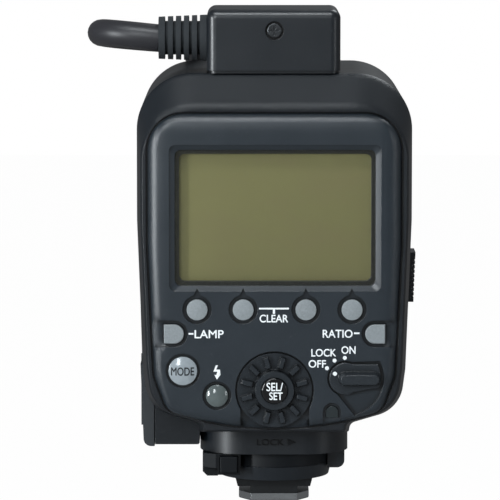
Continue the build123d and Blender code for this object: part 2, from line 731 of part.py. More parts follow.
def make_rear_panel():
    """Control panel plate with its wells, holes and screw posts."""
    with BuildPart() as panel:
        with BuildSketch(back_plane(LEDGE_Y)):
            add(panel_face())
        extrude(amount=LEDGE_Y - PANEL_Y)
        face = panel.faces().sort_by(Axis.Y)[0]
        fillet(face.edges(), PANEL_EDGE_SOFT)
        with BuildSketch(back_plane(LEDGE_Y + LCD_RIM_THICK)):
            add(window_sketch(LCD_WIDE + LCD_RIM, LCD_HIGH + LCD_RIM))
            add(panel_face(-LEDGE - SHOW_GAP), mode=Mode.INTERSECT)
        extrude(amount=LCD_RIM_THICK)
        with BuildSketch(back_plane(LEDGE_Y + DIAL_BOSS_DEEP)):
            with Locations((0, DIAL_Z)):
                Circle(DIAL_WELL_BOSS)
            add(panel_face(-LEDGE - SHOW_GAP), mode=Mode.INTERSECT)
        extrude(amount=DIAL_BOSS_DEEP)
        with BuildSketch(back_plane(BOARD_Y)):
            with Locations(*POSTS):
                Circle(POST_RADIUS)
        extrude(amount=BOARD_Y - LEDGE_Y)
        with BuildSketch(back_plane(BOARD_Y)):
            with Locations(*POSTS):
                Circle(POST_HOLE)
        extrude(amount=BOARD_SCREW_LONG - BOARD_THICK, mode=Mode.SUBTRACT)
        # display: bevelled mouth, seat of the window and the opening
        with BuildSketch(back_plane(PANEL_Y + LCD_POCKET_DEEP)):
            add(window_sketch(LCD_POCKET_WIDE, LCD_POCKET_HIGH))
        with BuildSketch(back_plane(PANEL_Y + LCD_STEP)):
            add(window_sketch(LCD_MOUTH_WIDE, LCD_MOUTH_HIGH))
        loft(ruled=True, mode=Mode.SUBTRACT)
        with BuildSketch(back_plane(PANEL_Y + LCD_STEP)):
            add(window_sketch(LCD_MOUTH_WIDE, LCD_MOUTH_HIGH))
        extrude(amount=LCD_STEP + OVERRUN, mode=Mode.SUBTRACT)
        with BuildSketch(back_plane(LEDGE_Y)):
            add(window_sketch(LCD_POCKET_WIDE, LCD_POCKET_HIGH))
        extrude(amount=LCD_WINDOW_THICK, mode=Mode.SUBTRACT)
        with BuildSketch(back_plane(LEDGE_Y + LCD_RIM_THICK + OVERRUN)):
            add(window_sketch(LCD_WIDE, LCD_HIGH))
        extrude(amount=LCD_RIM_THICK + OVERRUN * 2, mode=Mode.SUBTRACT)
        # shallow wells
        with BuildSketch(back_plane(PANEL_Y + BUTTON_WELL_DEEP)):
            for x in BUTTON_XS:
                with Locations((x, BUTTON_Z)):
                    Circle(BUTTON_WELL_RADIUS)
                with BuildLine():
                    Polyline((x - NOTCH_HALF, BUTTON_Z), (x, BUTTON_Z + NOTCH_TOP),
                             (x + NOTCH_HALF, BUTTON_Z),
                             close=True)
                make_face()
            with Locations((MODE_X, MODE_Z)):
                Circle(MODE_WELL_RADIUS)
            with Locations((TEST_X, TEST_Z)):
                Circle(TEST_WELL_RADIUS)
            add(arch_shape(LAMP_HALF + LAMP_EDGE, LAMP_TOP + LAMP_EDGE, PANEL_LOW_Z - OVERRUN))
        extrude(amount=BUTTON_WELL_DEEP + OVERRUN, mode=Mode.SUBTRACT)
        with BuildSketch(back_plane(PANEL_Y + CHANNEL_DEEP)):
            for side in (-1, 1):
                add(side_shape(side, CHANNEL_GAP, CHANNEL_OUT))
        extrude(amount=CHANNEL_DEEP + OVERRUN, mode=Mode.SUBTRACT)
        with BuildSketch(back_plane(PANEL_Y + DIAL_WELL_DEEP)):
            with Locations((0, DIAL_Z)):
                Circle(DIAL_WELL_RADIUS)
            with BuildLine():
                Polyline((DIAL_OPEN_LEFT, DIAL_Z), (DIAL_OPEN_RIGHT, DIAL_Z),
                         (DIAL_OPEN_RIGHT, PANEL_LOW_Z - OVERRUN), (DIAL_OPEN_LEFT, PANEL_LOW_Z - OVERRUN),
                         close=True)
            make_face()
        extrude(amount=DIAL_WELL_DEEP + OVERRUN, mode=Mode.SUBTRACT)
        with BuildSketch(back_plane(PANEL_Y + SWITCH_WELL_DEEP)):
            add(sector_shape(SWITCH_WELL_RADIUS, SWITCH_ARC_HIGH, SWITCH_ARC_LOW,
                             SWITCH_BASE_RADIUS + DOOR_GAP))
        extrude(amount=SWITCH_WELL_DEEP + OVERRUN, mode=Mode.SUBTRACT)
        # holes through the panel
        with BuildSketch(back_plane(LEDGE_Y + DIAL_BOSS_DEEP + OVERRUN)):
            for x in BUTTON_XS:
                with Locations((x, BUTTON_Z)):
                    Circle(BUTTON_RADIUS + SHOW_GAP)
            with Locations((MODE_X, MODE_Z)):
                Circle(MODE_RADIUS + SHOW_GAP)
            with Locations((TEST_X, TEST_Z)):
                Circle(TEST_RADIUS + SHOW_GAP)
            with Locations((0, DIAL_Z)):
                Circle(SHAFT_RADIUS + RUN_GAP)
            with Locations((SWITCH_X, SWITCH_Z)):
                Circle(SWITCH_STEM + RUN_GAP)
            for side in (-1, 1):
                add(side_shape(side, SHOW_GAP, SIDE_BUTTON_OUT + SHOW_GAP))
            add(arch_shape(LAMP_HALF, LAMP_TOP, LAMP_LOW))
        extrude(amount=DIAL_BOSS_DEEP + LEDGE_Y - PANEL_Y + OVERRUN * 2, mode=Mode.SUBTRACT)
    save(panel.part, "rear_panel")


def make_display():
    """Clear window, display glass, light guide and the control board with its parts."""
    with BuildPart() as window:
        with BuildSketch(back_plane(LEDGE_Y)):
            add(window_sketch(LCD_POCKET_WIDE - RUN_GAP * 2, LCD_POCKET_HIGH - RUN_GAP * 2))
        extrude(amount=LCD_WINDOW_THICK)
    save(window.part, "lcd_window")
    glass_y = LEDGE_Y + LCD_RIM_THICK
    with BuildPart() as glass:
        with BuildSketch(back_plane(glass_y + LCD_GLASS_THICK)):
            add(window_sketch(LCD_GLASS_WIDE, LCD_GLASS_HIGH))
        extrude(amount=LCD_GLASS_THICK)
    save(glass.part, "lcd_display")
    with BuildPart() as guide:
        with BuildSketch(back_plane(BOARD_Y)):
            add(window_sketch(LCD_GLASS_WIDE, LCD_GLASS_HIGH))
        extrude(amount=BOARD_Y - glass_y - LCD_GLASS_THICK)
    save(guide.part, "lcd_backlight")
    with BuildPart() as board:
        with BuildSketch(back_plane(BOARD_Y + BOARD_THICK)):
            add(panel_face(-BOARD_TRIM))
            with Locations(*POSTS):
                Circle(POST_HOLE, mode=Mode.SUBTRACT)
        extrude(amount=BOARD_THICK)
    save(board.part, "control_board")
    with BuildPart() as screws:
        with BuildSketch(back_plane(BOARD_Y + BOARD_THICK + BOARD_SCREW_HIGH)):
            with Locations(*POSTS):
                Circle(BOARD_SCREW_HEAD)
        extrude(amount=BOARD_SCREW_HIGH)
        with BuildSketch(back_plane(BOARD_Y + BOARD_THICK)):
            with Locations(*POSTS):
                Circle(POST_HOLE)
        extrude(amount=BOARD_SCREW_LONG)
    save(screws.part, "board_screws")
    spots = [(x, BUTTON_Z) for x in BUTTON_XS] + [(MODE_X, MODE_Z), (TEST_X, TEST_Z), (0, DIAL_Z)]
    spots += [(side * SIDE_BUTTON_X, SIDE_BUTTON_Z) for side in (-1, 1)]
    with BuildPart() as keys:
        with BuildSketch(back_plane(BOARD_Y)):
            with Locations(*spots):
                Rectangle(KEY_SIDE, KEY_SIDE)
        extrude(amount=KEY_HIGH)
        with BuildSketch(back_plane(BOARD_Y - KEY_HIGH)):
            with Locations(*spots):
                Circle(KEY_PIN)
        extrude(amount=KEY_PIN_HIGH)
    save(keys.part, "key_switches")
    with BuildPart() as rotary:
        with BuildSketch(back_plane(BOARD_Y)):
            with Locations((0, DIAL_Z)):
                Circle(ENCODER_RADIUS)
                Circle(SET_RADIUS + SHOW_GAP, mode=Mode.SUBTRACT)
        extrude(amount=ENCODER_THICK)
        with BuildSketch(back_plane(BOARD_Y)):
            with Locations((SWITCH_X, SWITCH_Z)):
                Circle(SWITCH_WAFER)
        extrude(amount=WAFER_THICK)
    save(rotary.part, "rotary_contacts")
    with BuildPart() as lamp:
        with BuildSketch(back_plane(LEDGE_Y + LAMP_FLANGE_THICK)):
            add(arch_shape(LAMP_HALF + LAMP_FLANGE, LAMP_TOP + LAMP_FLANGE, LAMP_LOW - LAMP_FLANGE))
            add(panel_face(-LEDGE - SHOW_GAP), mode=Mode.INTERSECT)
        extrude(amount=LAMP_FLANGE_THICK)
        with BuildSketch(back_plane(LEDGE_Y)):
            add(arch_shape(LAMP_HALF - RUN_GAP, LAMP_TOP - RUN_GAP, LAMP_LOW + RUN_GAP))
        extrude(amount=LEDGE_Y - PANEL_Y - EDGE_SOFT)
    save(lamp.part, "confirm_lamp")


# Buttons, dial and power switch


def make_round_button(label, x, z, radius, flange, proud, dome):
    """Round push button with a flange behind the panel and a domed cap."""
    back = LEDGE_Y + RUN_GAP
    rim = PANEL_Y - proud
    middle = Vector(x, 0, z)
    ball = (radius ** 2 + dome ** 2) / (dome * 2)
    rise = (ball ** 2 - (radius / 2) ** 2) ** 0.5 - ball + dome
    with BuildPart() as cap:
        with BuildSketch(Plane(origin=middle, x_dir=(1, 0, 0), z_dir=(0, 0, 1))):
            with BuildLine():
                ThreePointArc((radius, rim), (radius / 2, rim - rise), (0, rim - dome))
                Polyline((0, rim - dome), (0, back + FLANGE_THICK), (flange, back + FLANGE_THICK),
                         (flange, back),
                         (radius, back), (radius, rim))
            make_face()
        revolve(axis=Axis(middle, (0, 1, 0)))
    save(cap.part, label)


def make_side_button(label, side):
    """Button with one round and one straight end, and a flange on three sides."""
    with BuildPart() as cap:
        with BuildSketch(back_plane(LEDGE_Y + RUN_GAP + FLANGE_THICK)):
            add(side_shape(side, SIDE_FLANGE, SIDE_BUTTON_OUT - SHOW_GAP))
        extrude(amount=FLANGE_THICK)
        with BuildSketch(back_plane(LEDGE_Y + RUN_GAP)):
            add(side_shape(side, 0.0, SIDE_BUTTON_OUT))
        extrude(amount=LEDGE_Y + RUN_GAP - PANEL_Y + SIDE_PROUD)
        face = cap.faces().sort_by(Axis.Y)[0]
        fillet(face.edges(), EDGE_SOFT)
    save(cap.part, label)


def make_dial():
    """Select dial with radial ribs, on a hollow shaft, and the set button in its middle."""
    middle = Vector(0, 0, DIAL_Z)
    floor = PANEL_Y + DIAL_WELL_DEEP - RUN_GAP
    bore = SET_RADIUS + SHOW_GAP
    end = BOARD_Y - ENCODER_THICK - RUN_GAP
    with BuildPart() as dial:
        with BuildSketch(Plane(origin=middle, x_dir=(1, 0, 0), z_dir=(0, 0, 1))):
            with BuildLine():
                Polyline((bore, end), (SHAFT_RADIUS, end), (SHAFT_RADIUS, floor), (DIAL_RADIUS, floor),
                         (DIAL_RADIUS, floor - DIAL_PLATE), (HUB_RADIUS, floor - DIAL_PLATE),
                         (HUB_RADIUS - EDGE_SOFT, floor - HUB_HIGH), (bore, floor - HUB_HIGH), close=True)
            make_face()
        revolve(axis=Axis(middle, (0, 1, 0)))
        with BuildSketch(back_plane(floor - DIAL_PLATE)):
            with Locations((0, DIAL_Z)):
                with PolarLocations((DIAL_RIB_IN + DIAL_RIB_OUT) / 2, DIAL_RIB_COUNT,
                                    start_angle=DIAL_RIB_START):
                    Rectangle(DIAL_RIB_OUT - DIAL_RIB_IN, DIAL_RIB_WIDE)
        extrude(amount=DIAL_RIB_HIGH, taper=DIAL_RIB_TAPER)
    save(dial.part, "select_dial")
    back = LEDGE_Y + RUN_GAP + FLANGE_THICK
    with BuildPart() as knob:
        with BuildSketch(back_plane(back)):
            with Locations((0, DIAL_Z)):
                Circle(SET_RADIUS)
        extrude(amount=back - floor + HUB_HIGH + SET_PROUD)
        face = knob.faces().sort_by(Axis.Y)[0]
        fillet(face.edges(), EDGE_SOFT)
    save(knob.part, "set_button")


def make_power_switch():
    """Power switch: a low fan shaped base with a raised grip bar, on a stem."""
    floor = PANEL_Y + SWITCH_WELL_DEEP - RUN_GAP
    with BuildPart() as switch:
        with BuildSketch(back_plane(floor)):
            add(sector_shape(SWITCH_REACH, SWITCH_FAN_HIGH, SWITCH_FAN_LOW, SWITCH_BASE_RADIUS))
        extrude(amount=floor - PANEL_Y + SWITCH_DISC_PROUD)
        face = switch.faces().sort_by(Axis.Y)[0]
        fillet(face.edges(), EDGE_SOFT)
        grip = Plane(origin=(SWITCH_X, PANEL_Y - SWITCH_DISC_PROUD, SWITCH_Z), x_dir=(1, 0, 0),
                     z_dir=(0, -1, 0))
        with BuildSketch(grip):
            with Locations(((SWITCH_REACH - SWITCH_BAR_TIP / 2) / 2, 0)):
                SlotOverall(SWITCH_REACH + SWITCH_BAR_TIP / 2, SWITCH_BAR_TIP)
        extrude(amount=SWITCH_PROUD - SWITCH_DISC_PROUD, taper=SWITCH_BAR_TAPER)
        crown = switch.faces().sort_by(Axis.Y)[0]
        fillet(crown.edges(), EDGE_SOFT)
        with BuildSketch(back_plane(floor)):
            with Locations((SWITCH_X, SWITCH_Z)):
                Circle(SWITCH_STEM)
        extrude(amount=floor - BOARD_Y + WAFER_THICK + RUN_GAP)
    save(switch.part, "power_switch")


# Parts inside the front case


def box_part(label, xs, ys, zs):
    """Plain block between two limits on each axis."""
    with BuildPart() as block:
        with BuildSketch(Plane.XY.offset(zs[0])):
            with Locations(((xs[0] + xs[1]) / 2, (ys[0] + ys[1]) / 2)):
                Rectangle(xs[1] - xs[0], ys[1] - ys[0])
        extrude(amount=zs[1] - zs[0])
    save(block.part, label)


def make_power_parts():
    """Upright power board, and the main capacitor in its cradle."""
    left = POWER_BOARD_X - POWER_BOARD_THICK / 2
    box_part("power_board", (left, left + POWER_BOARD_THICK), (POWER_BOARD_REAR, POWER_BOARD_FRONT),
             (INNER_LOW, POWER_BOARD_TOP))
    cap_x = left - CAP_RADIUS
    with BuildPart() as capacitor:
        with BuildSketch(Plane.XY.offset(CAP_LOW)):
            with Locations((cap_x, CAP_Y)):
                Circle(CAP_RADIUS)
        extrude(amount=CAP_LONG)
        ends = capacitor.faces().filter_by(GeomType.PLANE)
        fillet(ends.edges(), CAP_ROUND)
    save(capacitor.part, "main_capacitor")
    with BuildPart() as cradle:
        for z in (CAP_LOW + CRADLE_HIGH, CAP_LOW + CAP_LONG - CRADLE_HIGH * 2):
            with BuildSketch(Plane.XY.offset(z)):
                with Locations((left - CRADLE_DEEP / 2, CAP_Y)):
                    Rectangle(CRADLE_DEEP, CRADLE_WIDE)
                with Locations((cap_x, CAP_Y)):
                    Circle(CAP_RADIUS, mode=Mode.SUBTRACT)
            extrude(amount=CRADLE_HIGH)
    save(cradle.part, "capacitor_cradle")


def make_battery_parts():
    """Battery tray open to the door, with four contact sets."""
    left = POWER_BOARD_X + POWER_BOARD_THICK / 2
    with BuildPart() as tray:
        with BuildSketch(Plane.XY.offset(TRAY_LOW)):
            with Locations(((left + TRAY_RIGHT) / 2, (TRAY_REAR + TRAY_FRONT) / 2)):
                Rectangle(TRAY_RIGHT - left, TRAY_FRONT - TRAY_REAR)
        extrude(amount=TRAY_TOP - TRAY_LOW)
        with BuildSketch(Plane.XY.offset(TRAY_LOW + TRAY_WALL)):
            with Locations(((left + TRAY_WALL + TRAY_RIGHT + OVERRUN) / 2, (TRAY_REAR + TRAY_FRONT) / 2)):
                Rectangle(TRAY_RIGHT + OVERRUN - left - TRAY_WALL, TRAY_FRONT - TRAY_REAR - TRAY_WALL * 2)
        extrude(amount=TRAY_TOP - TRAY_LOW - TRAY_WALL * 2, mode=Mode.SUBTRACT)
    save(tray.part, "battery_tray")
    middle_x = (left + TRAY_WALL + TRAY_RIGHT) / 2
    middle_y = (TRAY_REAR + TRAY_FRONT) / 2
    spots = [(middle_x + i * CELL_PITCH / 2, middle_y + j * CELL_PITCH / 2)
             for i in (-1, 1) for j in (-1, 1)]
    floor = TRAY_LOW + TRAY_WALL
    with BuildPart() as contacts:
        with BuildSketch(Plane.XY.offset(floor)):
            with Locations(*spots):
                Rectangle(TAG_SIDE, TAG_SIDE)
        extrude(amount=TAG_THICK)
        with BuildSketch(Plane.XY.offset(TRAY_TOP - TRAY_WALL - TAG_THICK)):
            with Locations(*spots):
                Rectangle(TAG_SIDE, TAG_SIDE)
        extrude(amount=TAG_THICK)
        for x, y in spots:
            with BuildSketch(Plane.XY.offset(floor + TAG_THICK)):
                with Locations((x, y)):
                    Circle(SPRING_LOW_RADIUS)
            with BuildSketch(Plane.XY.offset(floor + TAG_THICK + SPRING_HIGH)):
                with Locations((x, y)):
                    Circle(SPRING_TOP_RADIUS)
            loft(ruled=True)
    save(contacts.part, "battery_contacts")


# Battery door


def skin_ring(outer, inner):
    """Band that follows the front case outline, from outer to inner distance off its skin."""
    with BuildSketch() as band:
        with BuildSketch(mode=Mode.PRIVATE) as wide:
            add(front_face(0.0))
            offset(amount=outer, kind=Kind.INTERSECTION)
        with BuildSketch(mode=Mode.PRIVATE) as narrow:
            add(front_face(0.0))
            offset(amount=inner, kind=Kind.INTERSECTION)
        add(wide.sketch)
        add(narrow.sketch, mode=Mode.SUBTRACT)
    return band.sketch


def make_door():
    """Battery door cut from the same skin as the case, with a hinge bead along its foot."""
    with BuildPart() as door:
        with BuildSketch(back_plane(DOOR_FRONT)):
            add(skin_ring(0.0, -WALL))
        extrude(amount=DOOR_FRONT - DOOR_REAR)
        add(door_box(DOOR_GAP), mode=Mode.INTERSECT)
        add(slab((0, CASE_HALF * 2), (DOOR_REAR, DOOR_FRONT), (0, DOOR_PIN_Z)), mode=Mode.SUBTRACT)
        with BuildSketch(back_plane(DOOR_FRONT - DOOR_GAP)):
            with Locations((DOOR_PIN_X, DOOR_PIN_Z)):
                Circle(DOOR_BEAD)
        extrude(amount=DOOR_FRONT - DOOR_REAR - DOOR_GAP * 2)
        with BuildSketch(back_plane(DOOR_FRONT + OVERRUN)):
            with Locations((DOOR_PIN_X, DOOR_PIN_Z)):
                Circle(DOOR_PIN_RADIUS + RUN_GAP)
        extrude(amount=DOOR_FRONT - DOOR_REAR + OVERRUN * 2, mode=Mode.SUBTRACT)
        # slot for the stem of the latch
        low = (LATCH_LOW + LATCH_TOP - LATCH_STEM_HIGH) / 2 - SHOW_GAP
        high = (LATCH_LOW + LATCH_TOP + LATCH_STEM_HIGH) / 2 + SHOW_GAP
        front = LATCH_STEM_Y + LATCH_STEM_LONG + LATCH_TRAVEL + SHOW_GAP
        add(slab((LATCH_IN_X, CASE_HALF + WALL), (LATCH_STEM_Y - SHOW_GAP, front), (low, high)),
            mode=Mode.SUBTRACT)
    save(door.part, "battery_door")
    with BuildPart() as pin:
        with BuildSketch(back_plane(DOOR_FRONT + DOOR_PIN_END)):
            with Locations((DOOR_PIN_X, DOOR_PIN_Z)):
                Circle(DOOR_PIN_RADIUS)
        extrude(amount=DOOR_FRONT - DOOR_REAR + DOOR_PIN_END * 2)
    save(pin.part, "door_hinge_pin")
    # latch: ribbed pad outside, stem through the slot, tongue behind the case wall
    with BuildPart() as latch:
        with BuildSketch(back_plane(LATCH_FRONT)):
            add(skin_ring(LATCH_LIFT + LATCH_PROUD, LATCH_LIFT))
        extrude(amount=LATCH_FRONT - LATCH_REAR)
        pad = slab((0, PANEL_HALF * 2), (LATCH_REAR, LATCH_FRONT), (LATCH_LOW, LATCH_TOP))
        add(pad, mode=Mode.INTERSECT)
        cut = LATCH_LOW + LATCH_RIB_PITCH
        while cut < LATCH_TOP - LATCH_RIB_PITCH:
            edge = CASE_HALF + LATCH_RIB_FLOOR + (cut - LATCH_LOW) * LATCH_LEAN
            add(slab((edge, edge + WALL), (LATCH_REAR - OVERRUN, LATCH_FRONT + OVERRUN),
                     (cut, cut + LATCH_RIB_CUT)), mode=Mode.SUBTRACT)
            cut += LATCH_RIB_PITCH
        low = (LATCH_LOW + LATCH_TOP - LATCH_STEM_HIGH) / 2
        high = (LATCH_LOW + LATCH_TOP + LATCH_STEM_HIGH) / 2
        add(slab((LATCH_IN_X, LATCH_STEM_X), (LATCH_STEM_Y, LATCH_STEM_Y + LATCH_STEM_LONG), (low, high)))
        add(slab((LATCH_IN_X, LATCH_IN_X + LATCH_TONGUE), (DOOR_REAR + LATCH_TONGUE_SHY, LATCH_STEM_Y),
                 (low, high)))
    save(latch.part, "battery_latch")


# Terminals on the left side


def make_terminals():
    """Socket block behind the terminal cover, two round sockets and the cover."""
    with BuildPart() as block:
        add(terminal_space())
        for y, z in SOCKETS:
            with BuildSketch(Plane.YZ.offset(COVER_IN_X)):
                with Locations((y, z)):
                    Circle(SOCKET_RADIUS)
            extrude(amount=SOCKET_LONG, mode=Mode.SUBTRACT)
    save(block.part, "terminal_block")
    with BuildPart() as sockets:
        for y, z in SOCKETS:
            with BuildSketch(Plane.YZ.offset(COVER_IN_X)):
                with Locations((y, z)):
                    Circle(SOCKET_RADIUS)
                    Circle(SOCKET_BORE, mode=Mode.SUBTRACT)
            extrude(amount=SOCKET_LONG - TAG_THICK)
            with BuildSketch(Plane.YZ.offset(COVER_IN_X + SOCKET_LONG)):
                with Locations((y, z)):
                    Circle(SOCKET_RADIUS)
            extrude(amount=-TAG_THICK)
            with BuildSketch(Plane.YZ.offset(COVER_IN_X + SOCKET_LONG - TAG_THICK)):
                with Locations((y, z)):
                    Circle(SOCKET_PIN)
            extrude(amount=TAG_THICK - SOCKET_LONG + TAG_THICK)
    save(sockets.part, "terminal_sockets")
    with BuildPart() as cover:
        with BuildSketch(back_plane(COVER_FRONT)):
            add(front_face(0.0))
            offset(amount=COVER_PROUD, kind=Kind.INTERSECTION)
        extrude(amount=COVER_FRONT - SPLIT_Y)
        reach = (COVER_IN_X - PANEL_HALF, COVER_IN_X - SHOW_GAP)
        add(slab(reach, (SPLIT_Y, COVER_FRONT - SHOW_GAP), (0, COVER_TOP - SHOW_GAP)), mode=Mode.INTERSECT)
        rear = cover.edges().filter_by(Axis.Z).sort_by(Axis.Y)[0]
        fillet(rear, EDGE_SOFT)
        with BuildSketch(Plane.XY.offset(COVER_BEAD_LOW)):
            with Locations((COVER_AXIS_X, COVER_AXIS_Y)):
                Circle(COVER_BEAD)
        extrude(amount=COVER_TOP - SHOW_GAP - COVER_BEAD_LOW)
    save(cover.part, "terminal_cover")


# Cord block, boots and cord


def make_cord_block():
    """Block that the cord leaves from, hollow below, with one screw from behind."""
    with BuildPart() as block:
        with BuildSketch(Plane.XY.offset(CASE_TOP)):
            with Locations(((BLOCK_LEFT + BLOCK_RIGHT) / 2, (BLOCK_REAR + BLOCK_FRONT) / 2)):
                Rectangle(BLOCK_RIGHT - BLOCK_LEFT, BLOCK_FRONT - BLOCK_REAR)
        extrude(amount=BLOCK_TOP - CASE_TOP)
        fillet(block.edges().filter_by(Axis.Z), BLOCK_SOFT)
        fillet(block.faces().sort_by(Axis.Z)[-1].edges(), BLOCK_SOFT * BEND_SHARE * 2)
        # narrow shadow line at the foot
        with BuildSketch(Plane.XY.offset(CASE_TOP)):
            with Locations(((BLOCK_LEFT + BLOCK_RIGHT) / 2, (BLOCK_REAR + BLOCK_FRONT) / 2)):
                Rectangle(BLOCK_RIGHT - BLOCK_LEFT + OVERRUN, BLOCK_FRONT - BLOCK_REAR + OVERRUN)
                RectangleRounded(BLOCK_RIGHT - BLOCK_LEFT - BLOCK_SEAM * 2,
                                 BLOCK_FRONT - BLOCK_REAR - BLOCK_SEAM * 2,
                                 BLOCK_SOFT - BLOCK_SEAM, mode=Mode.SUBTRACT)
        extrude(amount=BLOCK_SEAM_HIGH, mode=Mode.SUBTRACT)
        with BuildSketch(Plane.XY.offset(CASE_TOP - OVERRUN)):
            with Locations(((BLOCK_LEFT + BLOCK_RIGHT) / 2, (BLOCK_REAR + BLOCK_FRONT) / 2)):
                Rectangle(BLOCK_RIGHT - BLOCK_LEFT - BLOCK_WALL * 2,
                          BLOCK_FRONT - BLOCK_REAR - BLOCK_WALL * 2)
        extrude(amount=BLOCK_TOP - CASE_TOP - BLOCK_WALL + OVERRUN, mode=Mode.SUBTRACT)
        with BuildSketch(back_plane(BLOCK_REAR + BLOCK_WALL)):
            with Locations((0, BLOCK_SCREW_Z)):
                Circle(BLOCK_POST)
        extrude(amount=-BLOCK_POST_LONG)
        with BuildSketch(back_plane(BLOCK_REAR)):
            with Locations((0, BLOCK_SCREW_Z)):
                Circle(BLOCK_SCREW_WELL)
        extrude(amount=-BLOCK_SCREW_DEEP, mode=Mode.SUBTRACT)
        with BuildSketch(back_plane(BLOCK_REAR)):
            with Locations((0, BLOCK_SCREW_Z)):
                Circle(BLOCK_SCREW_SHANK)
        extrude(amount=-BLOCK_SCREW_DEEP - BLOCK_SCREW_LONG, mode=Mode.SUBTRACT)
        with BuildSketch(Plane.YZ.offset(BLOCK_LEFT)):
            with Locations((CORD_Y, BOOT_Z)):
                Circle(SPIGOT_RADIUS)
        extrude(amount=BLOCK_WALL + OVERRUN, mode=Mode.SUBTRACT)
    save(block.part, "cord_block")
    seat = BLOCK_REAR + BLOCK_SCREW_DEEP
    with BuildPart() as screw:
        with BuildSketch(back_plane(seat)):
            with Locations((0, BLOCK_SCREW_Z)):
                Circle(BLOCK_SCREW_HEAD)
        extrude(amount=BLOCK_SCREW_HIGH)
        fillet(screw.faces().sort_by(Axis.Y)[0].edges(), EDGE_SOFT)
        with BuildSketch(back_plane(seat)):
            with Locations((0, BLOCK_SCREW_Z)):
                Circle(BLOCK_SCREW_SHANK)
        extrude(amount=-BLOCK_SCREW_LONG)
        with BuildSketch(back_plane(seat - BLOCK_SCREW_HIGH)):
            with Locations((0, BLOCK_SCREW_Z)):
                Rectangle(CROSS_LONG, CROSS_WIDE)
                Rectangle(CROSS_WIDE, CROSS_LONG)
        extrude(amount=-CROSS_DEEP, mode=Mode.SUBTRACT)
    save(screw.part, "cord_block_screw")


def make_boot(label, root, axis_x, along, length):
    """Ribbed strain relief: collar, ribs with slots between them, and a spigot into the wall."""
    with BuildPart() as boot:
        with BuildSketch(Plane(origin=root, x_dir=axis_x, z_dir=along)):
            Circle(BOOT_ROOT)
        with BuildSketch(Plane(origin=root + along * length, x_dir=axis_x, z_dir=along)):
            Circle(BOOT_TIP)
        loft(ruled=True)
        for i in range(BOOT_RIB_COUNT):
            start = BOOT_COLLAR + i * BOOT_PITCH
            with BuildSketch(Plane(origin=root + along * start, x_dir=axis_x, z_dir=along)):
                Circle(BOOT_ROOT + OVERRUN)
                Circle(BOOT_TIP - BOOT_SLOT_DEEP, mode=Mode.SUBTRACT)
            extrude(amount=BOOT_SLOT_WIDE, mode=Mode.SUBTRACT)
        with BuildSketch(Plane(origin=root, x_dir=axis_x, z_dir=along)):
            Circle(SPIGOT_RADIUS)
        extrude(amount=-SPIGOT_LONG)
    save(boot.part, label)


def make_cord():
    """Cord along straight runs joined by tangent bends, from the unit's boot to the head's boot."""
    points = [Vector(*p) for p in CORD_POINTS]
    points[0] = points[0] + (points[0] - points[1]).normalized() * CORD_SINK
    points[-1] = points[-1] + (points[-1] - points[-2]).normalized() * CORD_SINK
    bends = []
    for before, here, after in zip(points, points[1:], points[2:]):
        first = here - before
        second = after - here
        shorter = min(first.length, second.length)
        bends.append(BEND_SHARE * shorter / tan(radians(first.get_angle(second)) / 2))
    print("bend radii", [round(r, 1) for r in bends])
    with BuildPart() as cord:
        with BuildLine() as path:
            FilletPolyline(*points, radius=bends)
        with BuildSketch(Plane(origin=path.line @ 0, z_dir=path.line % 0)):
            Circle(CORD_DIAMETER / 2)
        sweep()
    length = sum(edge.length for edge in path.line.edges())
    section = pi * (CORD_DIAMETER / 2) ** 2
    print("cord length", round(length, 1), "volume share", round(cord.part.volume / section / length, 4))
    save(cord.part, "cord")


# Shoe base, lock and foot


def ring_part(outer_low, outer_top, low, top):
    """Round block with a slight taper."""
    with BuildPart() as block:
        with BuildSketch(Plane.XY.offset(low)):
            Circle(outer_low)
        with BuildSketch(Plane.XY.offset(top)):
            Circle(outer_top)
        loft(ruled=True)
    return block.part


def stop_lug():
    """Curved wall beside the lock lever, with its lower outer corner rounded off."""
    with BuildPart() as lug:
        add(slab((LUG_LEFT, LUG_RIGHT), (LUG_REAR, LUG_FRONT), (LUG_LOW, BASE_LOW + BASE_ROOF / 2)))
        outer = lug.edges().filter_by(Axis.Y).group_by(Axis.Z)[0].sort_by(Axis.X)[-1]
        fillet(outer, LUG_CORNER)
        with BuildSketch(Plane.XY.offset(LUG_LOW - OVERRUN)):
            Circle(LEVER_RADIUS + LUG_GAP)
        extrude(amount=BASE_LOW - LUG_LOW + OVERRUN, mode=Mode.SUBTRACT)
    return lug.part


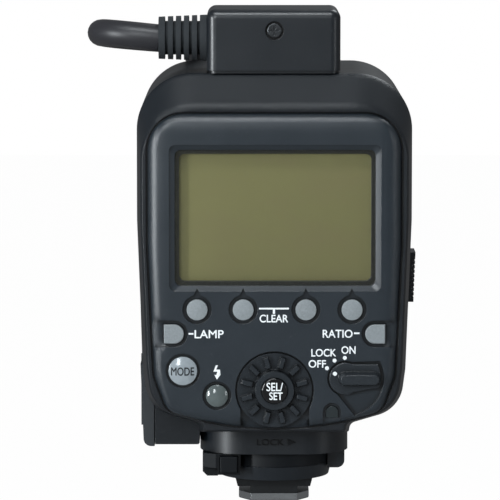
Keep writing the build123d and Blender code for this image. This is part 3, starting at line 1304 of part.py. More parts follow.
def make_base():
    """Housing under the case, fixed collar with the column of the lock lever, and the stop lug."""
    with BuildPart() as housing:
        with BuildSketch(Plane.XY.offset(BASE_LOW)):
            RectangleRounded(BASE_HALF * 2, BASE_REACH * 2, BASE_CORNER)
        extrude(amount=CASE_LOW - BASE_LOW)
        with BuildSketch(Plane.XY.offset(BASE_LOW + BASE_ROOF)):
            RectangleRounded((BASE_HALF - BASE_SKIN) * 2, (BASE_REACH - BASE_SKIN) * 2,
                             BASE_CORNER - BASE_SKIN)
        extrude(amount=CASE_LOW - BASE_LOW, mode=Mode.SUBTRACT)
        add(stop_lug())
    save(housing.part, "base_housing")
    with BuildPart() as collar:
        add(ring_part(COLLAR_LOW_RADIUS, LEVER_RADIUS, COLLAR_LOW, COLLAR_TOP))
        with BuildSketch(Plane.XY.offset(COLLAR_TOP)):
            Circle(COLUMN_RADIUS)
        extrude(amount=BASE_LOW - COLLAR_TOP)
        with BuildSketch(Plane.XY.offset(COLLAR_LOW)):
            with Locations((0, PIN_Y)):
                Circle(PIN_RADIUS + RUN_GAP)
            with Locations(*FOOT_SCREWS):
                Circle(FOOT_SCREW_RADIUS)
        extrude(amount=FOOT_SCREW_TOP - COLLAR_LOW, mode=Mode.SUBTRACT)
        with BuildSketch(Plane.XY.offset(COLLAR_LOW)):
            with Locations((0, PIN_Y)):
                Circle(PIN_RADIUS + RUN_GAP)
        extrude(amount=PIN_BORE_TOP - COLLAR_LOW, mode=Mode.SUBTRACT)
    save(collar.part, "foot_collar")


def make_lock():
    """Lock lever that turns on the column, its release button, and the lock pin."""
    low = COLLAR_TOP + RUN_GAP
    top = BASE_LOW - RUN_GAP
    with BuildPart() as lever:
        with BuildSketch(Plane.XY.offset(low)):
            Circle(LEVER_RADIUS)
            with BuildLine():
                Polyline(*LEVER_ARM, close=True)
            make_face()
            Circle(COLUMN_RADIUS + RUN_GAP, mode=Mode.SUBTRACT)
        extrude(amount=top - low)
        with BuildSketch(back_plane(FINGER_FRONT)):
            with BuildLine():
                Polyline((FINGER_LEFT, low), (FINGER_LEFT, FINGER_LOW + FINGER_CUT),
                         (FINGER_LEFT + FINGER_CUT, FINGER_LOW), (FINGER_RIGHT, FINGER_LOW),
                         (FINGER_RIGHT, low), close=True)
            make_face()
        extrude(amount=FINGER_FRONT - FINGER_REAR)
        add(slab((RELEASE_LEFT - RELEASE_WALL, RELEASE_RIGHT + RELEASE_WALL),
                 (LEVER_ARM[3][1], RELEASE_INNER_Y),
                 (RELEASE_LOW - RELEASE_WALL, low)))
        add(slab((RELEASE_LEFT - RELEASE_SLOT, RELEASE_RIGHT + RELEASE_SLOT),
                 (LEVER_ARM[3][1] - OVERRUN, RELEASE_BACK + RELEASE_TRAVEL + SHOW_GAP),
                 (RELEASE_LOW - RELEASE_SLOT, RELEASE_TOP + RELEASE_SLOT)), mode=Mode.SUBTRACT)
    save(lever.part, "lock_lever")
    with BuildPart() as release:
        add(slab((RELEASE_LEFT, RELEASE_RIGHT), (RELEASE_FACE, RELEASE_BACK), (RELEASE_LOW, RELEASE_TOP)))
        fillet(release.faces().sort_by(Axis.Y)[0].edges(), EDGE_SOFT)
    save(release.part, "lock_release_button")
    with BuildPart() as pin:
        with BuildSketch(Plane.XY.offset(PIN_LOW)):
            with Locations((0, PIN_Y)):
                Circle(PIN_RADIUS)
        extrude(amount=PIN_TOP - PIN_LOW)
        chamfer(pin.faces().sort_by(Axis.Z)[0].edges(), EDGE_SOFT)
    save(pin.part, "lock_pin")


def make_foot():
    """Foot block with the slots for the shoe rails, the metal plate, contacts and screws."""
    with BuildPart() as block:
        with BuildSketch(Plane.XY.offset(FOOT_SLOT_TOP)):
            Rectangle(FOOT_LOW_HALF * 2, PLATE_REACH * 2)
        with BuildSketch(Plane.XY.offset(COLLAR_LOW)):
            Rectangle(FOOT_TOP_HALF * 2, PLATE_REACH * 2 + OVERRUN)
        loft(ruled=True)
        with BuildSketch(Plane.XY.offset(PLATE_THICK)):
            Rectangle(NECK_HALF * 2, PLATE_REACH * 2)
        extrude(amount=FOOT_SLOT_TOP - PLATE_THICK)
        with BuildSketch(Plane.XY.offset(PLATE_THICK)):
            with Locations((0, PIN_Y)):
                Circle(PIN_RADIUS + RUN_GAP)
            with Locations(*FOOT_SCREWS):
                Circle(FOOT_SCREW_RADIUS)
        extrude(amount=COLLAR_LOW - PLATE_THICK, mode=Mode.SUBTRACT)
        with BuildSketch(Plane.XY.offset(PLATE_THICK)):
            with Locations(*CONTACTS):
                Circle(CONTACT_RADIUS)
        extrude(amount=CONTACT_TOP - PLATE_THICK, mode=Mode.SUBTRACT)
    save(block.part, "foot_block")
    with BuildPart() as plate:
        with BuildSketch():
            with BuildLine():
                Polyline((-PLATE_HALF, PLATE_REACH), (-PLATE_HALF, PLATE_CUT_Y - PLATE_REACH),
                         (PLATE_CUT_X - PLATE_HALF, -PLATE_REACH), (PLATE_HALF - PLATE_CUT_X, -PLATE_REACH),
                         (PLATE_HALF, PLATE_CUT_Y - PLATE_REACH), (PLATE_HALF, PLATE_REACH), close=True)
            make_face()
        extrude(amount=PLATE_THICK)
        chamfer(plate.faces().sort_by(Axis.Z)[0].edges(), EDGE_SOFT)
        with BuildSketch():
            Rectangle(INSERT_HALF_X * 2, INSERT_HALF_Y * 2)
        extrude(amount=INSERT_THICK, mode=Mode.SUBTRACT)
        with BuildSketch():
            with Locations(*CONTACTS):
                Circle(CONTACT_RADIUS)
            with Locations(*FOOT_SCREWS):
                Circle(FOOT_SCREW_RADIUS)
            with Locations((0, PIN_Y)):
                Circle(PIN_RADIUS + RUN_GAP)
        extrude(amount=PLATE_THICK, mode=Mode.SUBTRACT)
        with BuildSketch():
            with Locations(*FOOT_SCREWS):
                Circle(FOOT_SCREW_HEAD)
        extrude(amount=FOOT_SCREW_LOW + FOOT_SCREW_HIGH, mode=Mode.SUBTRACT)
    save(plate.part, "foot_plate")
    with BuildPart() as insert:
        with BuildSketch():
            Rectangle(INSERT_HALF_X * 2, INSERT_HALF_Y * 2)
            with Locations(*CONTACTS):
                Circle(CONTACT_RADIUS, mode=Mode.SUBTRACT)
        extrude(amount=INSERT_THICK)
    save(insert.part, "contact_insert")
    with BuildPart() as contacts:
        with BuildSketch():
            with Locations(*CONTACTS):
                Circle(CONTACT_RADIUS)
        extrude(amount=CONTACT_TOP)
    save(contacts.part, "shoe_contacts")
    with BuildPart() as screws:
        with BuildSketch(Plane.XY.offset(FOOT_SCREW_LOW)):
            with Locations(*FOOT_SCREWS):
                Circle(FOOT_SCREW_HEAD)
        extrude(amount=FOOT_SCREW_HIGH)
        with BuildSketch(Plane.XY.offset(FOOT_SCREW_LOW)):
            with Locations(*FOOT_SCREWS):
                Circle(FOOT_SCREW_RADIUS)
        extrude(amount=FOOT_SCREW_TOP - FOOT_SCREW_LOW)
    save(screws.part, "foot_screws")


# Ring head


def head_face(grow=0.0):
    """Outline of the ring head, centred on the lens axis."""
    with BuildSketch() as face:
        with Locations((0, HEAD_Z)):
            Circle(HEAD_RADIUS)
        with Locations((0, HEAD_Z + HEAD_HALF_HIGH / 2)):
            Rectangle(HEAD_BLOCK_TOP_HALF * 2, HEAD_HALF_HIGH)
        with Locations((0, HEAD_Z - HEAD_HALF_HIGH / 2)):
            Rectangle(HEAD_BLOCK_LOW_HALF * 2, HEAD_HALF_HIGH)
        heights = face.vertices().group_by(Axis.Y)
        fillet(heights[0] + heights[-1], HEAD_BLOCK_CORNER)
        if grow:
            offset(amount=grow, kind=Kind.INTERSECTION)
    return face.sketch


def arc_band(inner, outer, half_angle, side):
    """Curved band around the lens axis, on the right for side 1 and on the left for side -1."""
    reach = inner + outer
    rise = tan(radians(half_angle)) * reach
    with BuildSketch() as face:
        with Locations((0, HEAD_Z)):
            Circle(outer)
            Circle(inner, mode=Mode.SUBTRACT)
        with BuildLine():
            Polyline((0, HEAD_Z), (side * reach, HEAD_Z + rise), (side * reach, HEAD_Z - rise), close=True)
        make_face(mode=Mode.INTERSECT)
    return face.sketch


def head_spots(radius, angles):
    """Points on a circle around the lens axis."""
    return [(radius * cos(radians(a)), HEAD_Z + radius * sin(radians(a))) for a in angles]


def head_boot_hole():
    """Round hole in the top wall, shared by both covers, for the spigot of the boot."""
    with BuildPart() as hole:
        with BuildSketch(Plane.XY.offset(HEAD_BOOT_LOW + OVERRUN)):
            with Locations((HEAD_BOOT_X, HEAD_BOOT_Y)):
                Circle(SPIGOT_RADIUS)
        extrude(amount=-OVERRUN - SPIGOT_LONG)
    return hole.part


def make_head_covers():
    """Rear and front cover of the ring head."""
    posts = head_spots(HEAD_POST_RING, HEAD_POST_ANGLES)
    with BuildPart() as rear:
        with BuildSketch(back_plane(HEAD_SPLIT_Y)):
            add(head_face())
        extrude(amount=HEAD_SPLIT_Y - HEAD_REAR_Y)
        fillet(rear.faces().sort_by(Axis.Y)[0].edges(), HEAD_SOFT)
        with BuildSketch(back_plane(HEAD_SPLIT_Y)):
            add(head_face(-HEAD_WALL))
        extrude(amount=HEAD_SPLIT_Y - HEAD_REAR_Y - HEAD_WALL, mode=Mode.SUBTRACT)
        with BuildSketch(back_plane(HEAD_SPLIT_Y)):
            with Locations((0, HEAD_Z)):
                Circle(HEAD_HOLE + HEAD_WALL)
            with Locations(*posts):
                Circle(HEAD_POST)
        extrude(amount=HEAD_SPLIT_Y - HEAD_REAR_Y - HEAD_WALL)
        with BuildSketch(back_plane(HEAD_SPLIT_Y + OVERRUN)):
            with Locations((0, HEAD_Z)):
                Circle(HEAD_HOLE)
            with Locations(*posts):
                Circle(HEAD_SCREW_SHANK)
        extrude(amount=HEAD_SPLIT_Y - HEAD_REAR_Y + OVERRUN * 2, mode=Mode.SUBTRACT)
        with BuildSketch(back_plane(HEAD_REAR_Y + HEAD_SCREW_WELL_DEEP)):
            with Locations(*posts):
                Circle(HEAD_SCREW_WELL)
        extrude(amount=HEAD_SCREW_WELL_DEEP + OVERRUN, mode=Mode.SUBTRACT)
        add(head_boot_hole(), mode=Mode.SUBTRACT)
        # slots of the release keys and of the hooks
        reach = HEAD_RADIUS + OVERRUN
        for side in (-1, 1):
            near, far = sorted((side * (HEAD_RADIUS - HEAD_SLOT_DEEP), side * reach))
            add(slab((near, far), (KEY_REAR_Y - RUN_GAP, KEY_FRONT_Y + RUN_GAP),
                     (HEAD_Z - KEY_HALF_HIGH - RUN_GAP, HEAD_Z + KEY_HALF_HIGH + RUN_GAP)),
                     mode=Mode.SUBTRACT)
            near, far = sorted((side * (HEAD_HOLE - OVERRUN), side * (HEAD_HOLE + HEAD_WALL + OVERRUN)))
            add(slab((near, far), (HEAD_REAR_Y + HEAD_WALL, HOOK_FRONT_Y + RUN_GAP),
                     (HEAD_Z - HOOK_HALF_HIGH - RUN_GAP, HEAD_Z + HOOK_HALF_HIGH + RUN_GAP)),
                     mode=Mode.SUBTRACT)
    save(rear.part, "head_rear_cover")
    wall_y = HEAD_FRONT_Y - HEAD_WALL
    with BuildPart() as front:
        with BuildSketch(back_plane(HEAD_FRONT_Y)):
            add(head_face())
        extrude(amount=HEAD_FRONT_Y - HEAD_SPLIT_Y)
        fillet(front.faces().sort_by(Axis.Y)[-1].edges(), HEAD_SOFT)
        with BuildSketch(back_plane(wall_y)):
            add(head_face(-HEAD_WALL))
            with Locations((0, HEAD_Z)):
                Circle(HEAD_HOLE + HEAD_WALL, mode=Mode.SUBTRACT)
            with Locations(*posts):
                Circle(HEAD_POST, mode=Mode.SUBTRACT)
        extrude(amount=wall_y - HEAD_SPLIT_Y, mode=Mode.SUBTRACT)
        with BuildSketch(back_plane(HEAD_FRONT_Y + OVERRUN)):
            with Locations((0, HEAD_Z)):
                Circle(HEAD_HOLE)
            for side in (-1, 1):
                add(arc_band(WINDOW_IN, WINDOW_OUT, WINDOW_HALF_ANGLE, side))
            for x, z in FOCUS:
                with Locations((x, HEAD_Z + z)):
                    Circle(FOCUS_RADIUS)
        extrude(amount=HEAD_FRONT_Y - HEAD_SPLIT_Y + OVERRUN * 2, mode=Mode.SUBTRACT)
        with BuildSketch(back_plane(HEAD_SPLIT_Y + HEAD_SCREW_BITE)):
            with Locations(*posts):
                Circle(HEAD_SCREW_SHANK)
        extrude(amount=HEAD_SCREW_BITE, mode=Mode.SUBTRACT)
        add(head_boot_hole(), mode=Mode.SUBTRACT)
    save(front.part, "head_front_cover")
    seat = HEAD_REAR_Y + HEAD_SCREW_WELL_DEEP
    with BuildPart() as screws:
        with BuildSketch(back_plane(seat)):
            with Locations(*posts):
                Circle(HEAD_SCREW_HEAD)
        extrude(amount=HEAD_SCREW_HIGH)
        with BuildSketch(back_plane(HEAD_SPLIT_Y + HEAD_SCREW_BITE)):
            with Locations(*posts):
                Circle(HEAD_SCREW_SHANK)
        extrude(amount=HEAD_SPLIT_Y + HEAD_SCREW_BITE - seat)
    save(screws.part, "head_screws")


def make_head_lights():
    """Flash windows, reflector troughs, flash tubes and focusing lamps."""
    wall_y = HEAD_FRONT_Y - HEAD_WALL
    ledge = degrees(WINDOW_LEDGE / WINDOW_OUT)
    flange_y = wall_y - WINDOW_LEDGE
    with BuildPart() as windows:
        for side in (-1, 1):
            with BuildSketch(back_plane(HEAD_FRONT_Y)):
                add(arc_band(WINDOW_IN + RUN_GAP, WINDOW_OUT - RUN_GAP, WINDOW_HALF_ANGLE - RUN_GAP, side))
            extrude(amount=HEAD_WALL)
            with BuildSketch(back_plane(wall_y)):
                add(arc_band(WINDOW_IN - WINDOW_LEDGE, WINDOW_OUT + WINDOW_LEDGE,
                             WINDOW_HALF_ANGLE + ledge, side))
            extrude(amount=WINDOW_LEDGE)
    save(windows.part, "flash_windows")
    with BuildPart() as trough:
        for side in (-1, 1):
            with BuildSketch(back_plane(flange_y)):
                add(arc_band(WINDOW_IN + WINDOW_LEDGE, WINDOW_OUT - WINDOW_LEDGE, REFLECTOR_HALF_ANGLE,
                             side))
            extrude(amount=REFLECTOR_DEEP)
            with BuildSketch(back_plane(flange_y + OVERRUN)):
                add(arc_band(WINDOW_IN + WINDOW_LEDGE + REFLECTOR_WALL,
                             WINDOW_OUT - WINDOW_LEDGE - REFLECTOR_WALL,
                             REFLECTOR_HALF_ANGLE - ledge, side))
            extrude(amount=REFLECTOR_DEEP - REFLECTOR_WALL + OVERRUN, mode=Mode.SUBTRACT)
    save(trough.part, "flash_reflectors")
    middle = Vector(0, TUBE_Y, HEAD_Z)
    with BuildPart() as tubes:
        for turn in (-TUBE_HALF_ANGLE, HALF_TURN - TUBE_HALF_ANGLE):
            out = Vector(cos(radians(turn)), 0, sin(radians(turn)))
            with BuildSketch(Plane(origin=middle + out * TUBE_RING, x_dir=out,
                                   z_dir=Vector(0, 1, 0).cross(out))):
                Circle(TUBE_RADIUS)
            revolve(axis=Axis(middle, (0, -1, 0)), revolution_arc=TUBE_HALF_ANGLE * 2)
    save(tubes.part, "flash_tubes")
    with BuildPart() as lamps:
        for x, z in FOCUS:
            with BuildSketch(back_plane(HEAD_FRONT_Y)):
                with Locations((x, HEAD_Z + z)):
                    Circle(FOCUS_RADIUS - RUN_GAP)
            extrude(amount=HEAD_WALL)
            with BuildSketch(back_plane(wall_y)):
                with Locations((x, HEAD_Z + z)):
                    Circle(FOCUS_FLANGE)
            extrude(amount=FOCUS_FLANGE_THICK)
    save(lamps.part, "focusing_lamps")


def make_head_release():
    """Release keys on both sides, and the hooks that grip the lens ring."""
    for side, word in ((-1, "left"), (1, "right")):
        with BuildPart() as key:
            with BuildSketch(back_plane(KEY_FRONT_Y)):
                with Locations((0, HEAD_Z)):
                    Circle(KEY_OUT_RADIUS)
                with Locations((side * (KEY_IN + KEY_OUT_RADIUS) / 2, HEAD_Z)):
                    Rectangle(KEY_OUT_RADIUS - KEY_IN, KEY_HALF_HIGH * 2, mode=Mode.INTERSECT)
            extrude(amount=KEY_FRONT_Y - KEY_REAR_Y)
        save(key.part, f"head_release_{word}")
        near, far = sorted((side * HOOK_IN, side * HOOK_OUT))
        with BuildPart() as hook:
            add(slab((near, far), (HOOK_REAR_Y, HOOK_FRONT_Y),
                     (HEAD_Z - HOOK_HALF_HIGH, HEAD_Z + HOOK_HALF_HIGH)))
            tip = hook.faces().sort_by(Axis.X)[-1 if side < 0 else 0]
            chamfer(tip.edges().filter_by(Axis.Z), EDGE_SOFT)
        save(hook.part, f"lens_hook_{word}")
    board_y = HEAD_REAR_Y + HEAD_WALL
    with BuildPart() as board:
        with BuildSketch(back_plane(board_y + HEAD_BOARD_THICK)):
            add(arc_band(HEAD_BOARD_IN, HEAD_BOARD_OUT, HEAD_BOARD_HALF_ANGLE, 1))
        extrude(amount=HEAD_BOARD_THICK)
    turned = board.part.rotate(Axis((0, 0, HEAD_Z), (0, 1, 0)), QUARTER_TURN)
    save(turned, "head_board")


make_rear_case()
make_front_case()
make_rear_panel()
make_display()
for number, button_x in enumerate(BUTTON_XS, start=1):
    make_round_button(f"function_button_{number}", button_x, BUTTON_Z, BUTTON_RADIUS, BUTTON_FLANGE,
                      BUTTON_PROUD,
                      CAP_DOME)
make_round_button("mode_button", MODE_X, MODE_Z, MODE_RADIUS, MODE_FLANGE, BUTTON_PROUD, MODE_DOME)
make_round_button("test_button", TEST_X, TEST_Z, TEST_RADIUS, TEST_FLANGE, EDGE_SOFT, TEST_DOME)
make_side_button("lamp_button", -1)
make_side_button("ratio_button", 1)
make_dial()
make_power_switch()
make_power_parts()
make_battery_parts()
make_door()
make_terminals()
make_cord_block()
make_boot("cord_boot", Vector(BLOCK_LEFT, CORD_Y, BOOT_Z), (0, 1, 0), Vector(-1, 0, 0),
          BLOCK_LEFT - BOOT_TIP_X)
make_boot("head_boot", Vector(HEAD_BOOT_X, HEAD_BOOT_Y, HEAD_BOOT_LOW), (1, 0, 0), Vector(0, 0, 1),
          HEAD_BOOT_TOP - HEAD_BOOT_LOW)
make_cord()
make_base()
make_lock()
make_foot()
make_head_covers()
make_head_lights()
make_head_release()
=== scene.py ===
"""Looks of the macro ring flash: control unit, cord and ring head, laid out as a Blender add-on."""

import math

import bmesh
import bpy
from bpy.props import FloatProperty, FloatVectorProperty, PointerProperty
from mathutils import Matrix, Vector
from mathutils.bvhtree import BVHTree


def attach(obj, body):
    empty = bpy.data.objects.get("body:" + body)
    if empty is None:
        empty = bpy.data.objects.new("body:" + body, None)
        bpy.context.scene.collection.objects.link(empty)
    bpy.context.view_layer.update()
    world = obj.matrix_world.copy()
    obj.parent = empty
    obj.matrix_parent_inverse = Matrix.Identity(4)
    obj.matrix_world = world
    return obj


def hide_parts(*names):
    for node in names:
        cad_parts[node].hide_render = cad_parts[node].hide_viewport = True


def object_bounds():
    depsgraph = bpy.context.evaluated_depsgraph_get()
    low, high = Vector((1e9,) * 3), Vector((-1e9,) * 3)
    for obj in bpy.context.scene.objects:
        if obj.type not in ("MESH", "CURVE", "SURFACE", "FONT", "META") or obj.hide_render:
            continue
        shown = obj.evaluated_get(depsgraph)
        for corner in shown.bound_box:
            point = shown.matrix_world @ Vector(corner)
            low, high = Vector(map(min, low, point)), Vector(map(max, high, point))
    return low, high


bl_info = {
    "name": "Ring Flash Looks",
    "version": (1, 0, 0),
    "blender": (4, 5, 0),
    "location": "View3D > Sidebar > Ring Flash",
    "description": "Finishes, prints, cord and studio for a shoe-mount ring flash",
    "category": "Object",
}

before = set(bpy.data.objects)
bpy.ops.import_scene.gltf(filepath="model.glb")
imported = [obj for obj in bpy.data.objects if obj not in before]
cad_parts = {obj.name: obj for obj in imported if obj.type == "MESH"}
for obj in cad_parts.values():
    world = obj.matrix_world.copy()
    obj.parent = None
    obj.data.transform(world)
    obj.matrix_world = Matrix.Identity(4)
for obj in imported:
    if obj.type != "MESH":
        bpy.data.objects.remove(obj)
CAD_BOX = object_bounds()
MM = 0.001
WHITE = (1.0, 1.0, 1.0, 1.0)

# camera: what it looks at, its sensor in mm, and the nearest that it sees
TARGET = (-6.34 * MM, -30 * MM, 69 * MM)
SENSOR = 36
NEAREST = 0.05

# lamps: name, place and sides in metres, all aimed at one spot on the unit
LAMPS = (
    ("key", (-0.31, -1.0, 0.46), (0.2, 0.4)),
    ("side", (-0.78, -0.62, 0.13), (0.12, 0.4)),
    ("fill", (0.82, -0.6, 0.14), (0.08, 0.36)),
    ("top", (-0.12, -0.5, 0.92), (0.5, 0.12)),
    ("rear", (0.45, 0.7, 1.0), (0.6, 0.5)),
)
LAMP_AIM = (0, 0, 0.06)
LAMP_TINT = (0.92, 0.97, 1.0)
ROOM_TINT = (0.96, 0.98, 1, 1)

# floor: half its side, its drop below the object, its paper where light falls and where it is mirrored,
# the share of its glow that a glossy surface mirrors, and the share that the camera sees
FLOOR_HALF = 3.0
FLOOR_DROP = 0.2 * MM
PAPER = (0.9, 0.9, 0.9, 1)
PAPER_MIRRORED = (0.1, 0.1, 0.1, 1)
MIRRORED_SHARE = 0.12
FLOOR_SHARE = 0.985

# cord: the points that steer its route, in mm
CORD_ROUTE = (
    (-30.2, -10, 122.7),
    (-45.7, -10, 124.4),
    (-45.7, 10, 122.6),
    (-23.5, 13, 120.6),
    (-22, 56, 120),
    (-8, 60, 62),
    (0, 84, 18),
    (0, 86, -10),
)

# prints on the panel in mm: word, height of its capitals, centre and width
PANEL_WORDS = (
    ("OFF", 1.93, (11.06, 39.4), 4.4),
    ("LOCK", 1.93, (12.73, 42.3), 6.35),
    ("ON", 1.95, (19.12, 43.0), 3.6),
    ("CLEAR", 1.95, (-0.17, 51.2), 7.3),
    ("LAMP", 2.05, (-16.9, 47.15), 7.45),
    ("RATIO", 2.05, (16.3, 47.25), 7.65),
)
SET_WORDS = (
    ("SEL/", 2.15, (0.05, 33.6), 4.2),
    ("SET", 1.95, (0.36, 31.2), 3.4),
)
MODE_WORD = ("MODE", 2.1, (-23.76, 37.55), 5.9)
LOCK_WORD = ("LOCK", 1.6, (-1.05, 17.05), 7.0)
LOCK_ARROW = ((3.55, 16.2), (5.6, 17.05), (3.55, 17.9))

# lines between words and keys, as low and high corners, and dots, as centre and radius
PANEL_LINES = (
    ((-22.2, 47.0), (-20.95, 47.45)),
    ((20.5, 47.15), (21.95, 47.6)),
    ((-4.02, 53.57), (3.68, 54.0)),
    ((-0.45, 52.45), (0.12, 53.6)),
)
PANEL_DOTS = (((13.58, 38.28), 0.52), ((15.5, 40.27), 0.52), ((18.17, 40.97), 0.52))
SWITCH_DOT = ((15.6, 36.9), 0.54)

# lightning mark in mm: its centre, and its corners around that centre
BOLT_CENTRE = (-14.94, 37.16)
BOLT = (
    (-0.25, 1.85),
    (0.3, 1.85),
    (-0.15, 0.75),
    (0.85, 0.75),
    (0.45, -0.65),
    (0.95, -0.65),
    (0.05, -1.85),
    (-0.6, -0.65),
    (-0.1, -0.65),
    (0.15, 0.2),
    (-0.85, 0.2),
)

# letters: how far copies are shifted for a stout stroke, and the step that keeps the copies apart in depth
STROKE = 0.045 * MM
THIN_STROKE = 0.04 * MM
COPY_STEP = 0.007 * MM

# painted shade in narrow gaps: how near a wall has to be for a surface's colour to be darkened
PAINTED_SHADE_REACH = 1.4 * MM

# broad rounding outside a rectangle in X and Z: on the panel's rim, and on the case above its crest
PANEL_RIM = {"rim_edge": 2.4 * MM, "centre": (0, 63 * MM), "half_wide": 27.8 * MM, "half_tall": 37.2 * MM,
             "band": 2.0 * MM, "crown": 0.6}
CASE_CREST = {"rim_edge": 2.6 * MM, "centre": (0, 40 * MM), "half_wide": 90 * MM, "half_tall": 61.5 * MM,
              "band": 2 * MM}


def tone(red, green, blue):
    """A colour seen on screen, 0 to 255, as the linear colour that a shader takes."""
    parts = []
    for value in (red, green, blue):
        value /= 255
        parts.append(value / 12.92 if value <= 0.04045 else ((value + 0.055) / 1.055) ** 2.4)
    return (*parts, 1.0)


def length(name, description, default):
    """A property that holds a length in metres."""
    return FloatProperty(name=name, description=description, default=default, min=0, unit="LENGTH",
                         subtype="DISTANCE")


def shade(name, description, default):
    """A property that holds a colour."""
    return FloatVectorProperty(name=name, description=description, default=default, size=4, min=0, max=1,
                               subtype="COLOR")


def power(name, description, default):
    """A property that holds the power of a lamp in watts."""
    return FloatProperty(name=name, description=description, default=default, min=0, unit="POWER")


class RingFlashSizes(bpy.types.PropertyGroup):
    cord_width: length("Cord width", "Outer diameter of the cord", 7 * MM)
    print_lift: length("Print lift", "How far the printed ink stands off the plastic", 0.02 * MM)
    emboss_lift: length("Emboss lift", "How far moulded letters stand off the plastic", 0.3 * MM)
    grain: length("Grain", "Spacing of the moulded grain", 0.42 * MM)
    soft_edge: length("Soft edge", "Radius of the rounding seen on moulded edges", 0.22 * MM)


class RingFlashColours(bpy.types.PropertyGroup):
    case: shade("Case", "Moulded case halves", tone(15, 21, 27))
    panel: shade("Panel", "Raised rear panel", tone(29, 37, 44))
    key: shade("Keys", "Light grey keys", tone(124, 130, 133))
    olive: shade("Display", "Blank liquid crystal", tone(120, 117, 76))
    ink: shade("Ink", "Printed words and marks", tone(236, 240, 242))
    plate: shade("Shoe plate", "Bare metal of the foot", tone(196, 200, 203))
    cord: shade("Cord", "Cord jacket", tone(17, 21, 25))


class RingFlashStudio(bpy.types.PropertyGroup):
    key_power: power("Key light", "Power of the key light, high on the left", 3.0)
    side_power: power("Side light", "Power of the light at the left", 6.2)
    fill_power: power("Fill light", "Power of the fill light, at the right", 0.6)
    top_power: power("Top light", "Power of the light overhead", 4.4)
    rear_power: power("Rear light", "Power of the light behind", 4.5)
    ambient: FloatProperty(name="Ambient", description="Strength of the room light", default=0.15, min=0)
    distance: length("Camera distance", "From the camera to its target", 1.0)
    elevation: FloatProperty(name="Elevation", description="Camera height above the level",
                             default=math.radians(6), subtype="ANGLE")
    lens: FloatProperty(name="Lens", description="Focal length", default=279.36, unit="CAMERA")


class Wire:
    """A node socket that can be used in sums."""

    def __init__(self, finish, socket):
        self.finish = finish
        self.socket = socket

    def beside(self, output):
        """Another output of the node that this one comes from."""
        return Wire(self.finish, self.socket.node.outputs[output])

    def __add__(self, other):
        return self.finish.maths("ADD", self, other)

    def __radd__(self, other):
        return self.finish.maths("ADD", other, self)

    def __sub__(self, other):
        return self.finish.maths("SUBTRACT", self, other)

    def __rsub__(self, other):
        return self.finish.maths("SUBTRACT", other, self)

    def __mul__(self, other):
        return self.finish.maths("MULTIPLY", self, other)

    def __rmul__(self, other):
        return self.finish.maths("MULTIPLY", other, self)

    def __gt__(self, other):
        return self.finish.maths("GREATER_THAN", self, other)

    def __lt__(self, other):
        return self.finish.maths("LESS_THAN", self, other)


